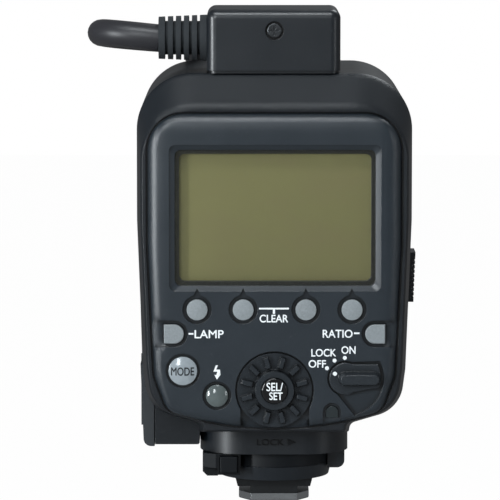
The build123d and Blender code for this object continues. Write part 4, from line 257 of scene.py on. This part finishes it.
class Finish:
    """The nodes of a material or a world in the making. node() adds any node."""

    def __init__(self, holder):
        holder.use_nodes = True
        self.holder = holder
        self.tree = holder.node_tree
        self.tree.nodes.clear()
        self._place = None

    def node(self, kind, settings=None, sockets=None, out=0):
        """Adds a node with its settings and inputs, and gives its output out as a wire."""
        added = self.tree.nodes.new(kind)
        for key, value in (settings or {}).items():
            setattr(added, key, value)
        for key, value in (sockets or {}).items():
            if isinstance(value, Wire):
                self.tree.links.new(value.socket, added.inputs[key])
            else:
                added.inputs[key].default_value = value
        return None if out is None else Wire(self, added.outputs[out])

    def maths(self, operation, first, second=0.0):
        """One sum of two wires or numbers."""
        return self.node("ShaderNodeMath", {"operation": operation}, {0: first, 1: second})

    def blend(self, amount, first, second):
        """Colour that goes from first to second as amount goes from 0 to 1."""
        return self.node("ShaderNodeMix", {"data_type": "RGBA"}, {0: amount, 6: first, 7: second}, out=2)

    def place(self):
        """Where the surface point is on the object, in metres."""
        if self._place is None:
            self._place = self.node("ShaderNodeTexCoord", out="Object")
        return self._place

    def axes(self):
        """The three coordinates of the surface point, as wires."""
        split = self.node("ShaderNodeSeparateXYZ", sockets={0: self.place()})
        return [split.beside(axis) for axis in range(3)]

    def noise(self, size, detail=2.0, rough=0.5, stretch=None):
        """Noise from 0 to 1 whose blobs are about size metres across."""
        where = self.place()
        if stretch:
            where = self.node("ShaderNodeVectorMath", {"operation": "MULTIPLY"}, {0: where, 1: stretch})
        sockets = {"Vector": where, "Scale": 1 / size, "Detail": detail, "Roughness": rough}
        return self.node("ShaderNodeTexNoise", sockets=sockets)

    def ramp(self, value, low, high):
        """0 below low, 1 above high, and a straight rise between."""
        return self.node("ShaderNodeMapRange", {"clamp": True},
                         {"Value": value, "From Min": low, "From Max": high, "To Min": 0.0, "To Max": 1.0})

    def relief(self, height, depth, strength=1.0, edge=0.0):
        """Normal of a surface raised by height times depth; edge is a rounding in metres, or a normal."""
        sockets = {"Height": height, "Distance": depth, "Strength": strength}
        if isinstance(edge, Wire):
            sockets["Normal"] = edge
        elif edge:
            sockets["Normal"] = self.rounded(edge)
        return self.node("ShaderNodeBump", sockets=sockets)

    def rounded(self, edge):
        """Normal of the surface with its hard edges rounded by edge metres."""
        return self.node("ShaderNodeBevel", {"samples": 4}, {"Radius": edge})

    def rounded_rim(self, edge, rim_edge, centre, half_wide, half_tall, band, crown=0.0):
        """Normal with fine rounding inside a rectangle in X and Z, and a broad, crowned one outside it."""
        across, _, up = self.axes()
        off_x, off_z = across - centre[0], up - centre[1]
        far_x, far_z = self.maths("ABSOLUTE", off_x), self.maths("ABSOLUTE", off_z)
        share = self.maths("MAXIMUM", self.ramp(far_x, half_wide, half_wide + band),
                           self.ramp(far_z, half_tall, half_tall + band))
        roundings = {0: share, 4: self.rounded(edge), 5: self.rounded(rim_edge)}
        normal = self.node("ShaderNodeMix", {"data_type": "VECTOR"}, roundings, out=1)
        if crown:
            lean_x = self.ramp(far_x, half_wide - band, half_wide + band * 2.5)
            lean_z = self.ramp(far_z, half_tall - band, half_tall + band * 2)
            lean = {"X": self.maths("SIGN", off_x) * (lean_x * lean_x) * crown, "Y": 0.0,
                    "Z": self.maths("SIGN", off_z) * (lean_z * lean_z) * crown}
            tilt = self.node("ShaderNodeCombineXYZ", sockets=lean)
            normal = self.node("ShaderNodeVectorMath", {"operation": "ADD"}, {0: normal, 1: tilt})
        return self.node("ShaderNodeVectorMath", {"operation": "NORMALIZE"}, {0: normal})

    def surface(self, **sockets):
        """Ends the material with one principled shader."""
        named = {key.replace("_", " "): value for key, value in sockets.items()}
        shader = self.node("ShaderNodeBsdfPrincipled", sockets=named)
        self.node("ShaderNodeOutputMaterial", sockets={"Surface": shader}, out=None)
        return self.holder


def lift(colour, factor):
    """A lighter or darker colour."""
    return (*(min(1.0, part * factor) for part in colour[:3]), 1.0)


def moulded(name, colour, rough=0.5, grain=0.42 * MM, depth=0.011 * MM, edge=0.22 * MM, dust=0.35,
            specular=0.4, rim=None):
    """Moulded plastic: grain, faint clouds, fine dust, painted shade in narrow gaps; rim rounds an outer
    band.
    """
    finish = Finish(bpy.data.materials.new(name))
    grit = finish.noise(grain, detail=3.0, rough=0.65)
    cloud = finish.noise(9 * MM)
    speck = finish.ramp(finish.noise(0.9 * MM, detail=1.0, rough=0.4), 0.70, 0.78)
    base = finish.blend(finish.ramp(cloud, 0.3, 0.7), lift(colour, 0.93), lift(colour, 1.07))
    base = finish.blend(finish.ramp(grit, 0.35, 0.7), base, lift(colour, 1.22))
    base = finish.blend(speck * (dust * 0.06), base, (0.30, 0.31, 0.32, 1))
    painted_shade_ao = finish.node("ShaderNodeAmbientOcclusion", {"samples": 6}, {"Distance": PAINTED_SHADE_REACH}, out="AO")
    # painted shade: the colour darkens to a quarter of itself in narrow gaps and near walls
    base = finish.blend(finish.ramp(painted_shade_ao, 0.35, 0.95), lift(colour, 0.25), base)
    roughness = rough + (grit - 0.5) * 0.16 + (cloud - 0.5) * 0.08
    seat = finish.rounded_rim(edge, **rim) if rim else edge
    return finish.surface(Base_Color=base, Roughness=roughness, Specular_IOR_Level=specular,
                          Normal=finish.relief(grit, depth, strength=0.55, edge=seat))


def glossy(name, colour, rough=0.12, coat=0.6, edge=0.15 * MM):
    """Polished plastic with faint haze and hairline wear."""
    finish = Finish(bpy.data.materials.new(name))
    haze = finish.noise(1.6 * MM, detail=3.0, rough=0.6)
    hair = finish.noise(0.35 * MM, detail=1.0, stretch=(1.0, 1.0, 9.0))
    base = finish.blend(finish.ramp(haze, 0.3, 0.75), lift(colour, 0.94), lift(colour, 1.08))
    roughness = rough + finish.ramp(haze, 0.45, 0.8) * 0.07 + finish.ramp(hair, 0.66, 0.74) * 0.05
    return finish.surface(Base_Color=base, Roughness=roughness, Coat_Weight=coat, Coat_Roughness=0.05,
                          Specular_IOR_Level=0.5,
                          Normal=finish.relief(hair, 0.004 * MM, strength=0.4, edge=edge))


def rubbery(name, colour, rough=0.62, grain=0.5 * MM, edge=0.25 * MM):
    """Rubber: fine matt bloom, slight scuffs."""
    finish = Finish(bpy.data.materials.new(name))
    grit = finish.noise(grain, detail=4.0, rough=0.7)
    bloom = finish.noise(6 * MM, detail=3.0, rough=0.6)
    scuff = finish.ramp(finish.noise(2.2 * MM, rough=0.6, stretch=(1.0, 1.0, 3.0)), 0.64, 0.76)
    base = finish.blend(finish.ramp(bloom, 0.35, 0.75), lift(colour, 0.9), lift(colour, 1.2))
    base = finish.blend(scuff * 0.22, base, lift(colour, 2.6))
    return finish.surface(Base_Color=base, Roughness=rough + (bloom - 0.5) * 0.16, Specular_IOR_Level=0.3,
                          Normal=finish.relief(grit, 0.03 * MM, strength=0.5, edge=edge))


def metallic(name, colour, rough=0.3, streak=(1.0, 60.0, 60.0), wear=0.5):
    """Bare metal with brushing, small pits and handling marks; streak squeezes the brushing by axis."""
    finish = Finish(bpy.data.materials.new(name))
    brush = finish.noise(2 * MM, rough=0.55, stretch=streak)
    patch = finish.noise(3.5 * MM, detail=3.0, rough=0.6)
    pits = finish.ramp(finish.noise(0.5 * MM, detail=1.0), 0.72, 0.78)
    base = finish.blend(finish.ramp(brush, 0.3, 0.7), lift(colour, 0.88), lift(colour, 1.08))
    base = finish.blend(pits * wear * 0.5, base, lift(colour, 0.45))
    roughness = rough + (brush - 0.5) * 0.2 + finish.ramp(patch, 0.5, 0.8) * 0.1 * wear
    return finish.surface(Base_Color=base, Metallic=1.0, Roughness=roughness,
                          Normal=finish.relief(brush, 0.006 * MM, strength=0.5, edge=0.12 * MM))


def printed(name, colour):
    """Screen-printed ink, slightly uneven."""
    finish = Finish(bpy.data.materials.new(name))
    mottle = finish.noise(0.3 * MM)
    base = finish.blend(finish.ramp(mottle, 0.35, 0.8), colour, lift(colour, 0.86))
    return finish.surface(Base_Color=base, Roughness=0.5 + (mottle - 0.5) * 0.1, Specular_IOR_Level=0.3)


def see_through(name, colour, alpha, rough=0.06, rib=None, rib_depth=0.05 * MM):
    """Clear or frosted plastic or glass; rib is the pitch of moulded prisms in rows and columns."""
    finish = Finish(bpy.data.materials.new(name))
    haze = finish.noise(2.5 * MM, detail=3.0, rough=0.6)
    clear = alpha + (haze - 0.5) * 0.05
    if rib:
        across, _, up = finish.axes()
        row = finish.maths("SINE", up * (2 * math.pi / rib))
        column = finish.maths("SINE", across * (2 * math.pi / rib))
        height = (column + row) * 0.25 + 0.5
        normal = finish.relief(height, rib_depth)
        base = finish.blend(height, lift(colour, 0.82), lift(colour, 1.06))
    else:
        normal = finish.relief(haze, 0.004 * MM, strength=0.3, edge=0.12 * MM)
        base = finish.blend(haze, lift(colour, 0.95), colour)
    return finish.surface(Base_Color=base, Alpha=clear, Roughness=rough, Specular_IOR_Level=0.6,
                          Coat_Weight=0.4, Coat_Roughness=0.04, Normal=normal)


def display_face(name, colour):
    """Blank liquid crystal: olive, with painted light that makes it a little lighter towards its top left
    and lighter along its left edge, and a brownish drift.
    """
    finish = Finish(bpy.data.materials.new(name))
    across, _, up = finish.axes()
    # painted light: lighter towards the top left, where the light comes from
    painted_light_fall = finish.ramp(across * -0.6 + up, 44 * MM, 100 * MM)
    drift = finish.noise(16 * MM, stretch=(1.0, 1.0, 2.2))
    weave = finish.noise(0.35 * MM, detail=1.0, rough=0.4)
    base = finish.blend(painted_light_fall, lift(colour, 0.9), lift(colour, 1.1))
    base = finish.blend(finish.ramp(drift, 0.42, 0.75) * 0.35, base, tone(118, 108, 78))
    # painted light along the left edge, in place of the shadow that the recess edge casts there
    base = finish.blend(finish.ramp(across * -1, 10 * MM, 27 * MM), base, lift(colour, 1.12))
    base = finish.blend(weave * 0.12, base, lift(colour, 0.8))
    return finish.surface(Base_Color=base, Roughness=0.42 + (weave - 0.5) * 0.1, Specular_IOR_Level=0.25,
                          Normal=finish.relief(weave, 0.004 * MM, strength=0.3))


def board_face(name):
    """Green varnished board with tracks and pads."""
    finish = Finish(bpy.data.materials.new(name))
    cells = finish.node("ShaderNodeTexVoronoi", {"distance": "MANHATTAN", "feature": "F1"},
                        {"Vector": finish.place(), "Scale": 1 / (3.2 * MM)})
    tracks = finish.ramp(cells, 0.46, 0.5)
    pads = cells < 0.13
    varnish = finish.noise(4 * MM, detail=3.0)
    base = finish.blend(finish.ramp(varnish, 0.3, 0.7), tone(22, 78, 44), tone(30, 96, 54))
    base = finish.blend(tracks, base, tone(50, 128, 66))
    base = finish.blend(pads, base, tone(196, 178, 120))
    return finish.surface(Base_Color=base, Roughness=0.32 + varnish * 0.12, Coat_Weight=0.4,
                          Normal=finish.relief(tracks, 0.03 * MM, strength=0.5))


def sleeved(name):
    """Capacitor sleeve: dark shrink film with a pale stripe down its side."""
    finish = Finish(bpy.data.materials.new(name))
    _, along, _ = finish.axes()
    stripe = (along > 24.5 * MM) * (along < 28.0 * MM)
    wrinkle = finish.noise(2 * MM, detail=3.0, rough=0.6, stretch=(1.0, 1.0, 0.3))
    base = finish.blend(stripe, tone(24, 26, 40), tone(150, 156, 170))
    base = finish.blend(finish.ramp(wrinkle, 0.5, 0.8) * 0.2, base, tone(70, 74, 96))
    return finish.surface(Base_Color=base, Roughness=0.26 + wrinkle * 0.12, Coat_Weight=0.3,
                          Normal=finish.relief(wrinkle, 0.05 * MM, strength=0.4))


def colours():
    """The colours that a user may change."""
    return bpy.context.scene.ring_flash_colours


def sizes():
    """The sizes that a user may change."""
    return bpy.context.scene.ring_flash_sizes


def studio():
    """The settings of camera and lights."""
    return bpy.context.scene.ring_flash_studio


def made(name, build, *values, **named):
    """The named material, built once from its values."""
    return bpy.data.materials.get(name) or build(name, *values, **named)


def metres(values):
    """Millimetres as metres, for a number or for points."""
    if isinstance(values, (tuple, list)):
        return tuple(metres(value) for value in values)
    return values * MM


def dress(material, *nodes):
    """Gives CAD nodes one finish."""
    for name in nodes:
        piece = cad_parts[name]
        if not piece.material_slots:
            piece.data.materials.append(material)
        for holder in piece.material_slots:
            holder.material = material


def put(name, mesh, material, body="unit"):
    """Puts a mesh in the scene as a piece that rides on a body."""
    piece = bpy.data.objects.new(name, mesh)
    bpy.context.scene.collection.objects.link(piece)
    mesh.materials.clear()
    mesh.materials.append(material)
    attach(piece, body)
    return piece


def trace(nodes, far=-60 * MM):
    """A function that gives the Y at which a line from far along +Y at x, z first meets these nodes."""
    trees = []
    for name in nodes:
        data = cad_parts[name].data
        corners = [vertex.co.copy() for vertex in data.vertices]
        trees.append(BVHTree.FromPolygons(corners, [tuple(face.vertices) for face in data.polygons]))

    def meet(x, z, fallback):
        hits = [tree.ray_cast(Vector((x, far, z)), Vector((0, 1, 0)))[0] for tree in trees]
        found = [hit.y for hit in hits if hit is not None]
        return min(found) if found else fallback

    return meet


def letters(words, height, centre, width):
    """Flat outline letters facing -Y, with capitals of that height, as a mesh in the plane y = 0."""
    text = bpy.data.curves.new("letters", "FONT")
    text.body = words
    text.size = 1.0
    text.resolution_u = 6
    holder = bpy.data.objects.new("letters", text)
    mesh = bpy.data.meshes.new_from_object(holder)
    bpy.data.objects.remove(holder)
    xs = [vertex.co.x for vertex in mesh.vertices]
    ys = [vertex.co.y for vertex in mesh.vertices]
    tall = height / (max(ys) - min(ys))
    wide = width / (max(xs) - min(xs))
    middle = Vector(((max(xs) + min(xs)) / 2, (max(ys) + min(ys)) / 2))
    for vertex in mesh.vertices:
        x, y = vertex.co.x - middle.x, vertex.co.y - middle.y
        vertex.co = (centre[0] + x * wide, 0.0, centre[1] + y * tall)
    return mesh


def stout(words, height, centre, width, swell=STROKE):
    """Letters with thicker strokes: copies shifted a little each way."""
    copies = []
    for x, z in ((-swell, 0), (swell, 0), (0, -swell), (0, swell)):
        copy = letters(words, height, (centre[0] + x, centre[1] + z), width)
        for vertex in copy.vertices:
            vertex.co.y -= COPY_STEP * len(copies)
        copies.append(copy)
    return joined(copies)


def outline(points):
    """A flat face facing -Y from its corners (x, z), in metres."""
    mesh = bpy.data.meshes.new("outline")
    sheet = bmesh.new()
    sheet.faces.new([sheet.verts.new((x, 0.0, z)) for x, z in points])
    bmesh.ops.triangulate(sheet, faces=sheet.faces[:])
    sheet.to_mesh(mesh)
    sheet.free()
    return mesh


def disc(centre, radius, steps=24):
    """A flat round face facing -Y."""
    turns = [2 * math.pi * step / steps for step in range(steps)]
    return outline([(centre[0] + radius * math.cos(turn), centre[1] + radius * math.sin(turn))
                    for turn in turns])


def bar(low, high):
    """A flat upright rectangle from its low corner to its high corner."""
    return outline([(low[0], low[1]), (high[0], low[1]), (high[0], high[1]), (low[0], high[1])])


def lay_on(mesh, nodes, lift_off, fallback=-30 * MM, finer=0):
    """Presses a flat mesh onto the nodes behind it, lift_off clear of them; fallback is the Y where it
    meets none, and finer cuts its faces up first, for a curved seat."""
    if finer:
        cut = bmesh.new()
        cut.from_mesh(mesh)
        bmesh.ops.triangulate(cut, faces=cut.faces[:])
        for _ in range(finer):
            bmesh.ops.subdivide_edges(cut, edges=cut.edges[:], cuts=1, use_grid_fill=False)
            bmesh.ops.triangulate(cut, faces=cut.faces[:])
        cut.to_mesh(mesh)
        cut.free()
    meet = trace(nodes)
    for vertex in mesh.vertices:
        vertex.co.y += meet(vertex.co.x, vertex.co.z, fallback) - lift_off
    return mesh


def joined(meshes):
    """One mesh from several."""
    whole = bmesh.new()
    for mesh in meshes:
        whole.from_mesh(mesh)
        bpy.data.meshes.remove(mesh)
    result = bpy.data.meshes.new("joined")
    whole.to_mesh(result)
    whole.free()
    return result


def thickened(mesh, amount):
    """Gives a flat mesh that faces -Y a thickness towards -Y."""
    solid = bmesh.new()
    solid.from_mesh(mesh)
    bmesh.ops.remove_doubles(solid, verts=solid.verts[:], dist=1e-7)
    pushed = bmesh.ops.extrude_face_region(solid, geom=solid.faces[:])
    for item in pushed["geom"]:
        if isinstance(item, bmesh.types.BMVert):
            item.co.y -= amount
    bmesh.ops.recalc_face_normals(solid, faces=solid.faces[:])
    solid.to_mesh(mesh)
    solid.free()
    return mesh


class RINGFLASH_OT_studio(bpy.types.Operator):
    """Sets up the camera, the floor, the room and the lights"""

    bl_idname = "ringflash.studio"
    bl_label = "Studio"

    def execute(self, context):
        scene = context.scene
        scene.view_settings.view_transform = "Standard"
        setup = studio()
        self.camera(scene, setup)
        self.room(scene, setup)
        self.floor(scene)
        for name, where, sides in LAMPS:
            self.lamp(scene, name, where, sides, getattr(setup, name + "_power"))
        return {"FINISHED"}

    def camera(self, scene, setup):
        """The camera, behind the unit and raised by the elevation."""
        rise = setup.elevation
        data = bpy.data.cameras.new("view")
        data.lens = setup.lens
        data.sensor_width = SENSOR
        data.clip_start = NEAREST
        camera = bpy.data.objects.new("view", data)
        camera.location = Vector(TARGET) + Vector((0, -math.cos(rise), math.sin(rise))) * setup.distance
        camera.rotation_euler = (math.pi / 2 - rise, 0, 0)
        scene.collection.objects.link(camera)
        scene.camera = camera

    def lamp(self, scene, name, where, sides, watts):
        """A rectangular lamp turned towards the unit."""
        data = bpy.data.lights.new(name, "AREA")
        data.shape = "RECTANGLE"
        data.size, data.size_y = sides
        data.energy = watts
        data.color = LAMP_TINT
        lamp = bpy.data.objects.new(name, data)
        lamp.location = where
        aim = Vector(LAMP_AIM) - Vector(where)
        lamp.rotation_euler = aim.to_track_quat("-Z", "Y").to_euler()
        scene.collection.objects.link(lamp)

    def room(self, scene, setup):
        """White where the camera sees it, and a dim room light on everything else."""
        finish = Finish(bpy.data.worlds.new("room"))
        scene.world = finish.holder
        seen = finish.node("ShaderNodeBackground", sockets={"Color": WHITE, "Strength": 1.0})
        light = finish.node("ShaderNodeBackground", sockets={"Color": ROOM_TINT, "Strength": setup.ambient})
        looked_at = finish.node("ShaderNodeLightPath", out="Is Camera Ray")
        mixed = finish.node("ShaderNodeMixShader", sockets={0: looked_at, 1: light, 2: seen})
        finish.node("ShaderNodeOutputWorld", sockets={"Surface": mixed}, out=None)

    def floor(self, scene):
        """A white floor just below the object, that glossy surfaces mirror only dimly."""
        low = CAD_BOX[0][2] - FLOOR_DROP
        mesh = bpy.data.meshes.new("floor")
        corners = ((-1, -1), (1, -1), (1, 1), (-1, 1))
        mesh.from_pydata([(x * FLOOR_HALF, y * FLOOR_HALF, low) for x, y in corners], [], [(0, 1, 2, 3)])
        floor = bpy.data.objects.new("floor", mesh)
        scene.collection.objects.link(floor)
        finish = Finish(bpy.data.materials.new("pale_floor"))
        white = finish.node("ShaderNodeEmission", sockets={"Color": WHITE, "Strength": 1.0})
        seen = finish.node("ShaderNodeLightPath", out="Is Camera Ray")
        mirrored = seen.beside("Is Glossy Ray")
        through = seen.beside("Is Transmission Ray")
        dimmed = finish.blend(mirrored, PAPER, PAPER_MIRRORED)
        paper = finish.node("ShaderNodeBsdfDiffuse", sockets={"Color": dimmed})
        looked_at = finish.maths("MAXIMUM", seen, through)
        looked_at = finish.maths("MAXIMUM", looked_at, mirrored * MIRRORED_SHARE)
        mixed = finish.node("ShaderNodeMixShader", sockets={0: looked_at * FLOOR_SHARE, 1: paper, 2: white})
        finish.node("ShaderNodeOutputMaterial", sockets={"Surface": mixed}, out=None)
        mesh.materials.append(finish.holder)


class RINGFLASH_OT_cord(bpy.types.Operator):
    """Draws the cord from its boot, round the unit and down to the ring head"""

    bl_idname = "ringflash.cord"
    bl_label = "Cord"

    def execute(self, context):
        width = sizes().cord_width
        curve = bpy.data.curves.new("cord_run", "CURVE")
        curve.dimensions = "3D"
        spline = curve.splines.new("NURBS")
        spline.points.add(len(CORD_ROUTE) - 1)
        for point, place in zip(spline.points, metres(CORD_ROUTE)):
            point.co = (*place, 1)
        spline.order_u = 3
        spline.use_endpoint_u = True
        spline.resolution_u = 24
        curve.bevel_depth = width / 2
        curve.bevel_resolution = 8
        curve.use_fill_caps = True
        jacket = made("cord_jacket", rubbery, tuple(colours().cord), rough=0.5, grain=0.6 * MM, edge=0)
        curve.materials.append(jacket)
        cord = bpy.data.objects.new("cord_run", curve)
        context.scene.collection.objects.link(cord)
        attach(cord, "unit")
        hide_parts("cord")
        return {"FINISHED"}


class RINGFLASH_OT_case(bpy.types.Operator):
    """Moulded finish of the case, its covers, the cord block and the boots"""

    bl_idname = "ringflash.case"
    bl_label = "Case"

    def execute(self, context):
        tint = tuple(colours().case)
        mould = {"grain": sizes().grain, "edge": sizes().soft_edge}
        dress(made("case_grain", moulded, tint, rough=0.36, specular=0.75, **mould),
              "front_case", "battery_door", "battery_latch", "cord_block", "base_housing")
        dress(made("crest_grain", moulded, tint, rough=0.36, specular=0.75, rim=CASE_CREST, **mould),
              "rear_case")
        dress(made("panel_grain", moulded, tuple(colours().panel), rough=0.33, dust=0.5, specular=0.85,
                   rim=PANEL_RIM, **mould),
              "rear_panel")
        dress(made("cover_rubber", rubbery, lift(tint, 0.85), rough=0.6), "terminal_cover")
        dress(made("boot_rubber", rubbery, lift(tint, 0.72), rough=0.55), "cord_boot", "head_boot")
        dress(made("dark_screw", metallic, tone(92, 95, 98), rough=0.32, streak=(1, 30, 30), wear=0.8),
              "cord_block_screw", "head_screws", "board_screws")
        return {"FINISHED"}


class RINGFLASH_OT_display(bpy.types.Operator):
    """The blank display behind its clear window"""

    bl_idname = "ringflash.display"
    bl_label = "Display"

    def execute(self, context):
        dress(made("olive_crystal", display_face, tuple(colours().olive)), "lcd_display")
        dress(made("clear_cover", see_through, tone(96, 96, 80), alpha=0.1, rough=0.05), "lcd_window")
        dress(made("light_guide", glossy, tone(214, 214, 204), rough=0.3, coat=0.2), "lcd_backlight")
        dress(made("smoked_lamp", glossy, tone(38, 44, 46), rough=0.16, coat=0.5), "confirm_lamp")
        return {"FINISHED"}


class RINGFLASH_OT_controls(bpy.types.Operator):
    """Keys, dial and power switch"""

    bl_idname = "ringflash.controls"
    bl_label = "Controls"

    def execute(self, context):
        dress(made("satin_key", moulded, tuple(colours().key), rough=0.42, grain=0.5 * MM, depth=0.008 * MM,
                   edge=0.3 * MM, dust=0.2, specular=0.5),
              "function_button_1", "function_button_2", "function_button_3", "function_button_4",
              "lamp_button", "ratio_button")
        dress(made("silver_dome", glossy, tone(142, 150, 155), rough=0.16, coat=0.8), "mode_button")
        dress(made("smoke_dome", glossy, tone(84, 92, 92), rough=0.12, coat=0.6), "test_button")
        dress(made("jet_gloss", glossy, tone(14, 15, 17), rough=0.08, coat=1.0), "set_button")
        turned = {"grain": 0.3 * MM, "depth": 0.006 * MM}
        dress(made("dial_satin", moulded, tone(36, 40, 44), rough=0.25, edge=0.25 * MM, **turned),
              "select_dial")
        dress(made("switch_satin", moulded, tone(40, 44, 48), rough=0.24, edge=0.5 * MM, **turned),
              "power_switch")
        return {"FINISHED"}


class RINGFLASH_OT_prints(bpy.types.Operator):
    """White and dark printed words, dots and lines"""

    bl_idname = "ringflash.prints"
    bl_label = "Prints"

    def execute(self, context):
        white = made("white_ink", printed, tuple(colours().ink))
        dark = made("dark_ink", printed, tone(26, 30, 34))
        off = sizes().print_lift
        on_panel = [stout(word, *metres(place)) for word, *place in PANEL_WORDS]
        on_panel += [bar(*metres(line)) for line in PANEL_LINES]
        on_panel += [disc(*metres(dot)) for dot in PANEL_DOTS]
        on_panel.append(outline(metres([(BOLT_CENTRE[0] + x, BOLT_CENTRE[1] + z) for x, z in BOLT])))
        put("panel_prints", lay_on(joined(on_panel), ["rear_panel"], off), white)
        dot = lay_on(disc(*metres(SWITCH_DOT)), ["power_switch"], off)
        put("switch_dot", dot, white, "power_knob")
        words = joined([stout(word, *metres(place), swell=THIN_STROKE) for word, *place in SET_WORDS])
        put("set_words", lay_on(words, ["set_button"], off), white, "set_key")
        word, *place = MODE_WORD
        mode = stout(word, *metres(place), swell=THIN_STROKE)
        mode = lay_on(mode, ["mode_button"], off * 1.5, fallback=-31 * MM, finer=2)
        put("mode_word", mode, dark, "mode_key")
        return {"FINISHED"}


class RINGFLASH_OT_embossing(bpy.types.Operator):
    """Moulded word and arrow on the base band, darkened with painted shade"""

    bl_idname = "ringflash.embossing"
    bl_label = "Embossing"

    def execute(self, context):
        word, *place = LOCK_WORD
        mesh = joined([letters(word, *metres(place)), outline(metres(LOCK_ARROW))])
        mesh = lay_on(mesh, ["base_housing"], -0.02 * MM, fallback=-18 * MM)
        mesh = thickened(mesh, sizes().emboss_lift)
        # painted shade: the moulded letters take the case colour at about a third
        ink = made("emboss_dark", moulded, lift(tuple(colours().case), 0.35), rough=0.4, grain=0.4 * MM,
                   depth=0.01 * MM, edge=0.05 * MM, dust=0.0)
        put("lock_word", mesh, ink)
        return {"FINISHED"}


class RINGFLASH_OT_foot(bpy.types.Operator):
    """Lock lever, collar and metal foot"""

    bl_idname = "ringflash.foot"
    bl_label = "Foot"

    def execute(self, context):
        tint = tuple(colours().case)
        satin = {"grain": 0.35 * MM, "depth": 0.01 * MM}
        dress(made("collar_satin", moulded, lift(tint, 1.3), rough=0.38, specular=0.6, **satin),
              "foot_collar")
        # painted shade: the lever and its release button take the case colour at six tenths, for low parts
        # that get less light
        dress(made("lever_satin", moulded, lift(tint, 0.6), rough=0.48, specular=0.3, **satin),
              "lock_lever", "lock_release_button")
        dress(made("foot_black", moulded, tone(20, 22, 24), rough=0.45, grain=0.35 * MM, depth=0.012 * MM),
              "foot_block", "contact_insert")
        dress(made("shoe_plate", metallic, tuple(colours().plate), rough=0.3, streak=(60, 1, 60)),
              "foot_plate")
        dress(made("pin_steel", metallic, tone(200, 202, 204), rough=0.22, streak=(20, 20, 1)),
              "lock_pin", "foot_screws", "door_hinge_pin")
        dress(made("gold_pin", metallic, tone(226, 190, 104), rough=0.22, streak=(20, 20, 1)),
              "shoe_contacts")
        return {"FINISHED"}


class RINGFLASH_OT_head(bpy.types.Operator):
    """Ring head: covers, windows, tubes, lamps, keys and hooks"""

    bl_idname = "ringflash.head"
    bl_label = "Ring head"

    def execute(self, context):
        tint = tuple(colours().case)
        dress(made("head_grain", moulded, lift(tint, 0.9), grain=sizes().grain),
              "head_rear_cover", "head_front_cover")
        dress(made("frosted_prism", see_through, tone(236, 240, 240), alpha=0.55, rough=0.25, rib=1.6 * MM,
                   rib_depth=0.25 * MM),
              "flash_windows")
        dress(made("bright_trough", metallic, tone(226, 228, 230), rough=0.12, streak=(6, 1, 6)),
              "flash_reflectors")
        dress(made("tube_glass", see_through, tone(232, 238, 244), alpha=0.45, rough=0.04), "flash_tubes")
        dress(made("focus_lens", see_through, tone(232, 230, 214), alpha=0.6, rough=0.1, rib=0.9 * MM,
                   rib_depth=0.06 * MM),
              "focusing_lamps")
        dress(made("release_satin", moulded, lift(tint, 0.7), rough=0.4, grain=0.4 * MM, depth=0.012 * MM),
              "head_release_left", "head_release_right")
        dress(made("hook_steel", metallic, tone(186, 188, 190), rough=0.26, streak=(1, 20, 20)),
              "lens_hook_left", "lens_hook_right")
        dress(made("circuit_board", board_face), "head_board")
        return {"FINISHED"}


class RINGFLASH_OT_insides(bpy.types.Operator):
    """Boards, switches, capacitor, battery tray, contacts and sockets"""

    bl_idname = "ringflash.insides"
    bl_label = "Insides"

    def execute(self, context):
        dress(made("circuit_board", board_face), "control_board", "power_board")
        dress(made("tray_black", moulded, tone(28, 30, 33), grain=0.5 * MM, depth=0.02 * MM),
              "battery_tray", "capacitor_cradle", "rotary_contacts", "terminal_block")
        dress(made("stamped_metal", metallic, tone(196, 196, 190), rough=0.28, streak=(8, 8, 8)),
              "key_switches", "battery_contacts", "terminal_sockets")
        dress(made("capacitor_sleeve", sleeved), "main_capacitor")
        return {"FINISHED"}


class RINGFLASH_PT_panel(bpy.types.Panel):
    """Sidebar panel of the ring flash"""

    bl_idname = "RINGFLASH_PT_panel"
    bl_label = "Ring Flash"
    bl_space_type = "VIEW_3D"
    bl_region_type = "UI"
    bl_category = "Ring Flash"

    def draw(self, context):
        layout = self.layout
        for group in (context.scene.ring_flash_sizes, context.scene.ring_flash_colours,
                      context.scene.ring_flash_studio):
            box = layout.box()
            for name in group.__annotations__:
                box.prop(group, name)
        for step in STEPS:
            layout.operator(step.bl_idname)


GROUPS = (RingFlashSizes, RingFlashColours, RingFlashStudio)
STEPS = (
    RINGFLASH_OT_studio,
    RINGFLASH_OT_cord,
    RINGFLASH_OT_case,
    RINGFLASH_OT_display,
    RINGFLASH_OT_controls,
    RINGFLASH_OT_prints,
    RINGFLASH_OT_embossing,
    RINGFLASH_OT_foot,
    RINGFLASH_OT_head,
    RINGFLASH_OT_insides,
)


def register():
    for kind in (*GROUPS, *STEPS, RINGFLASH_PT_panel):
        bpy.utils.register_class(kind)
    bpy.types.Scene.ring_flash_sizes = PointerProperty(type=RingFlashSizes)
    bpy.types.Scene.ring_flash_colours = PointerProperty(type=RingFlashColours)
    bpy.types.Scene.ring_flash_studio = PointerProperty(type=RingFlashStudio)


def unregister():
    del bpy.types.Scene.ring_flash_studio
    del bpy.types.Scene.ring_flash_colours
    del bpy.types.Scene.ring_flash_sizes
    for kind in reversed((*GROUPS, *STEPS, RINGFLASH_PT_panel)):
        bpy.utils.unregister_class(kind)


def main():
    register()
    for step in STEPS:
        family, name = step.bl_idname.split(".")
        getattr(getattr(bpy.ops, family), name)()


if __name__ == "__main__":
    main()
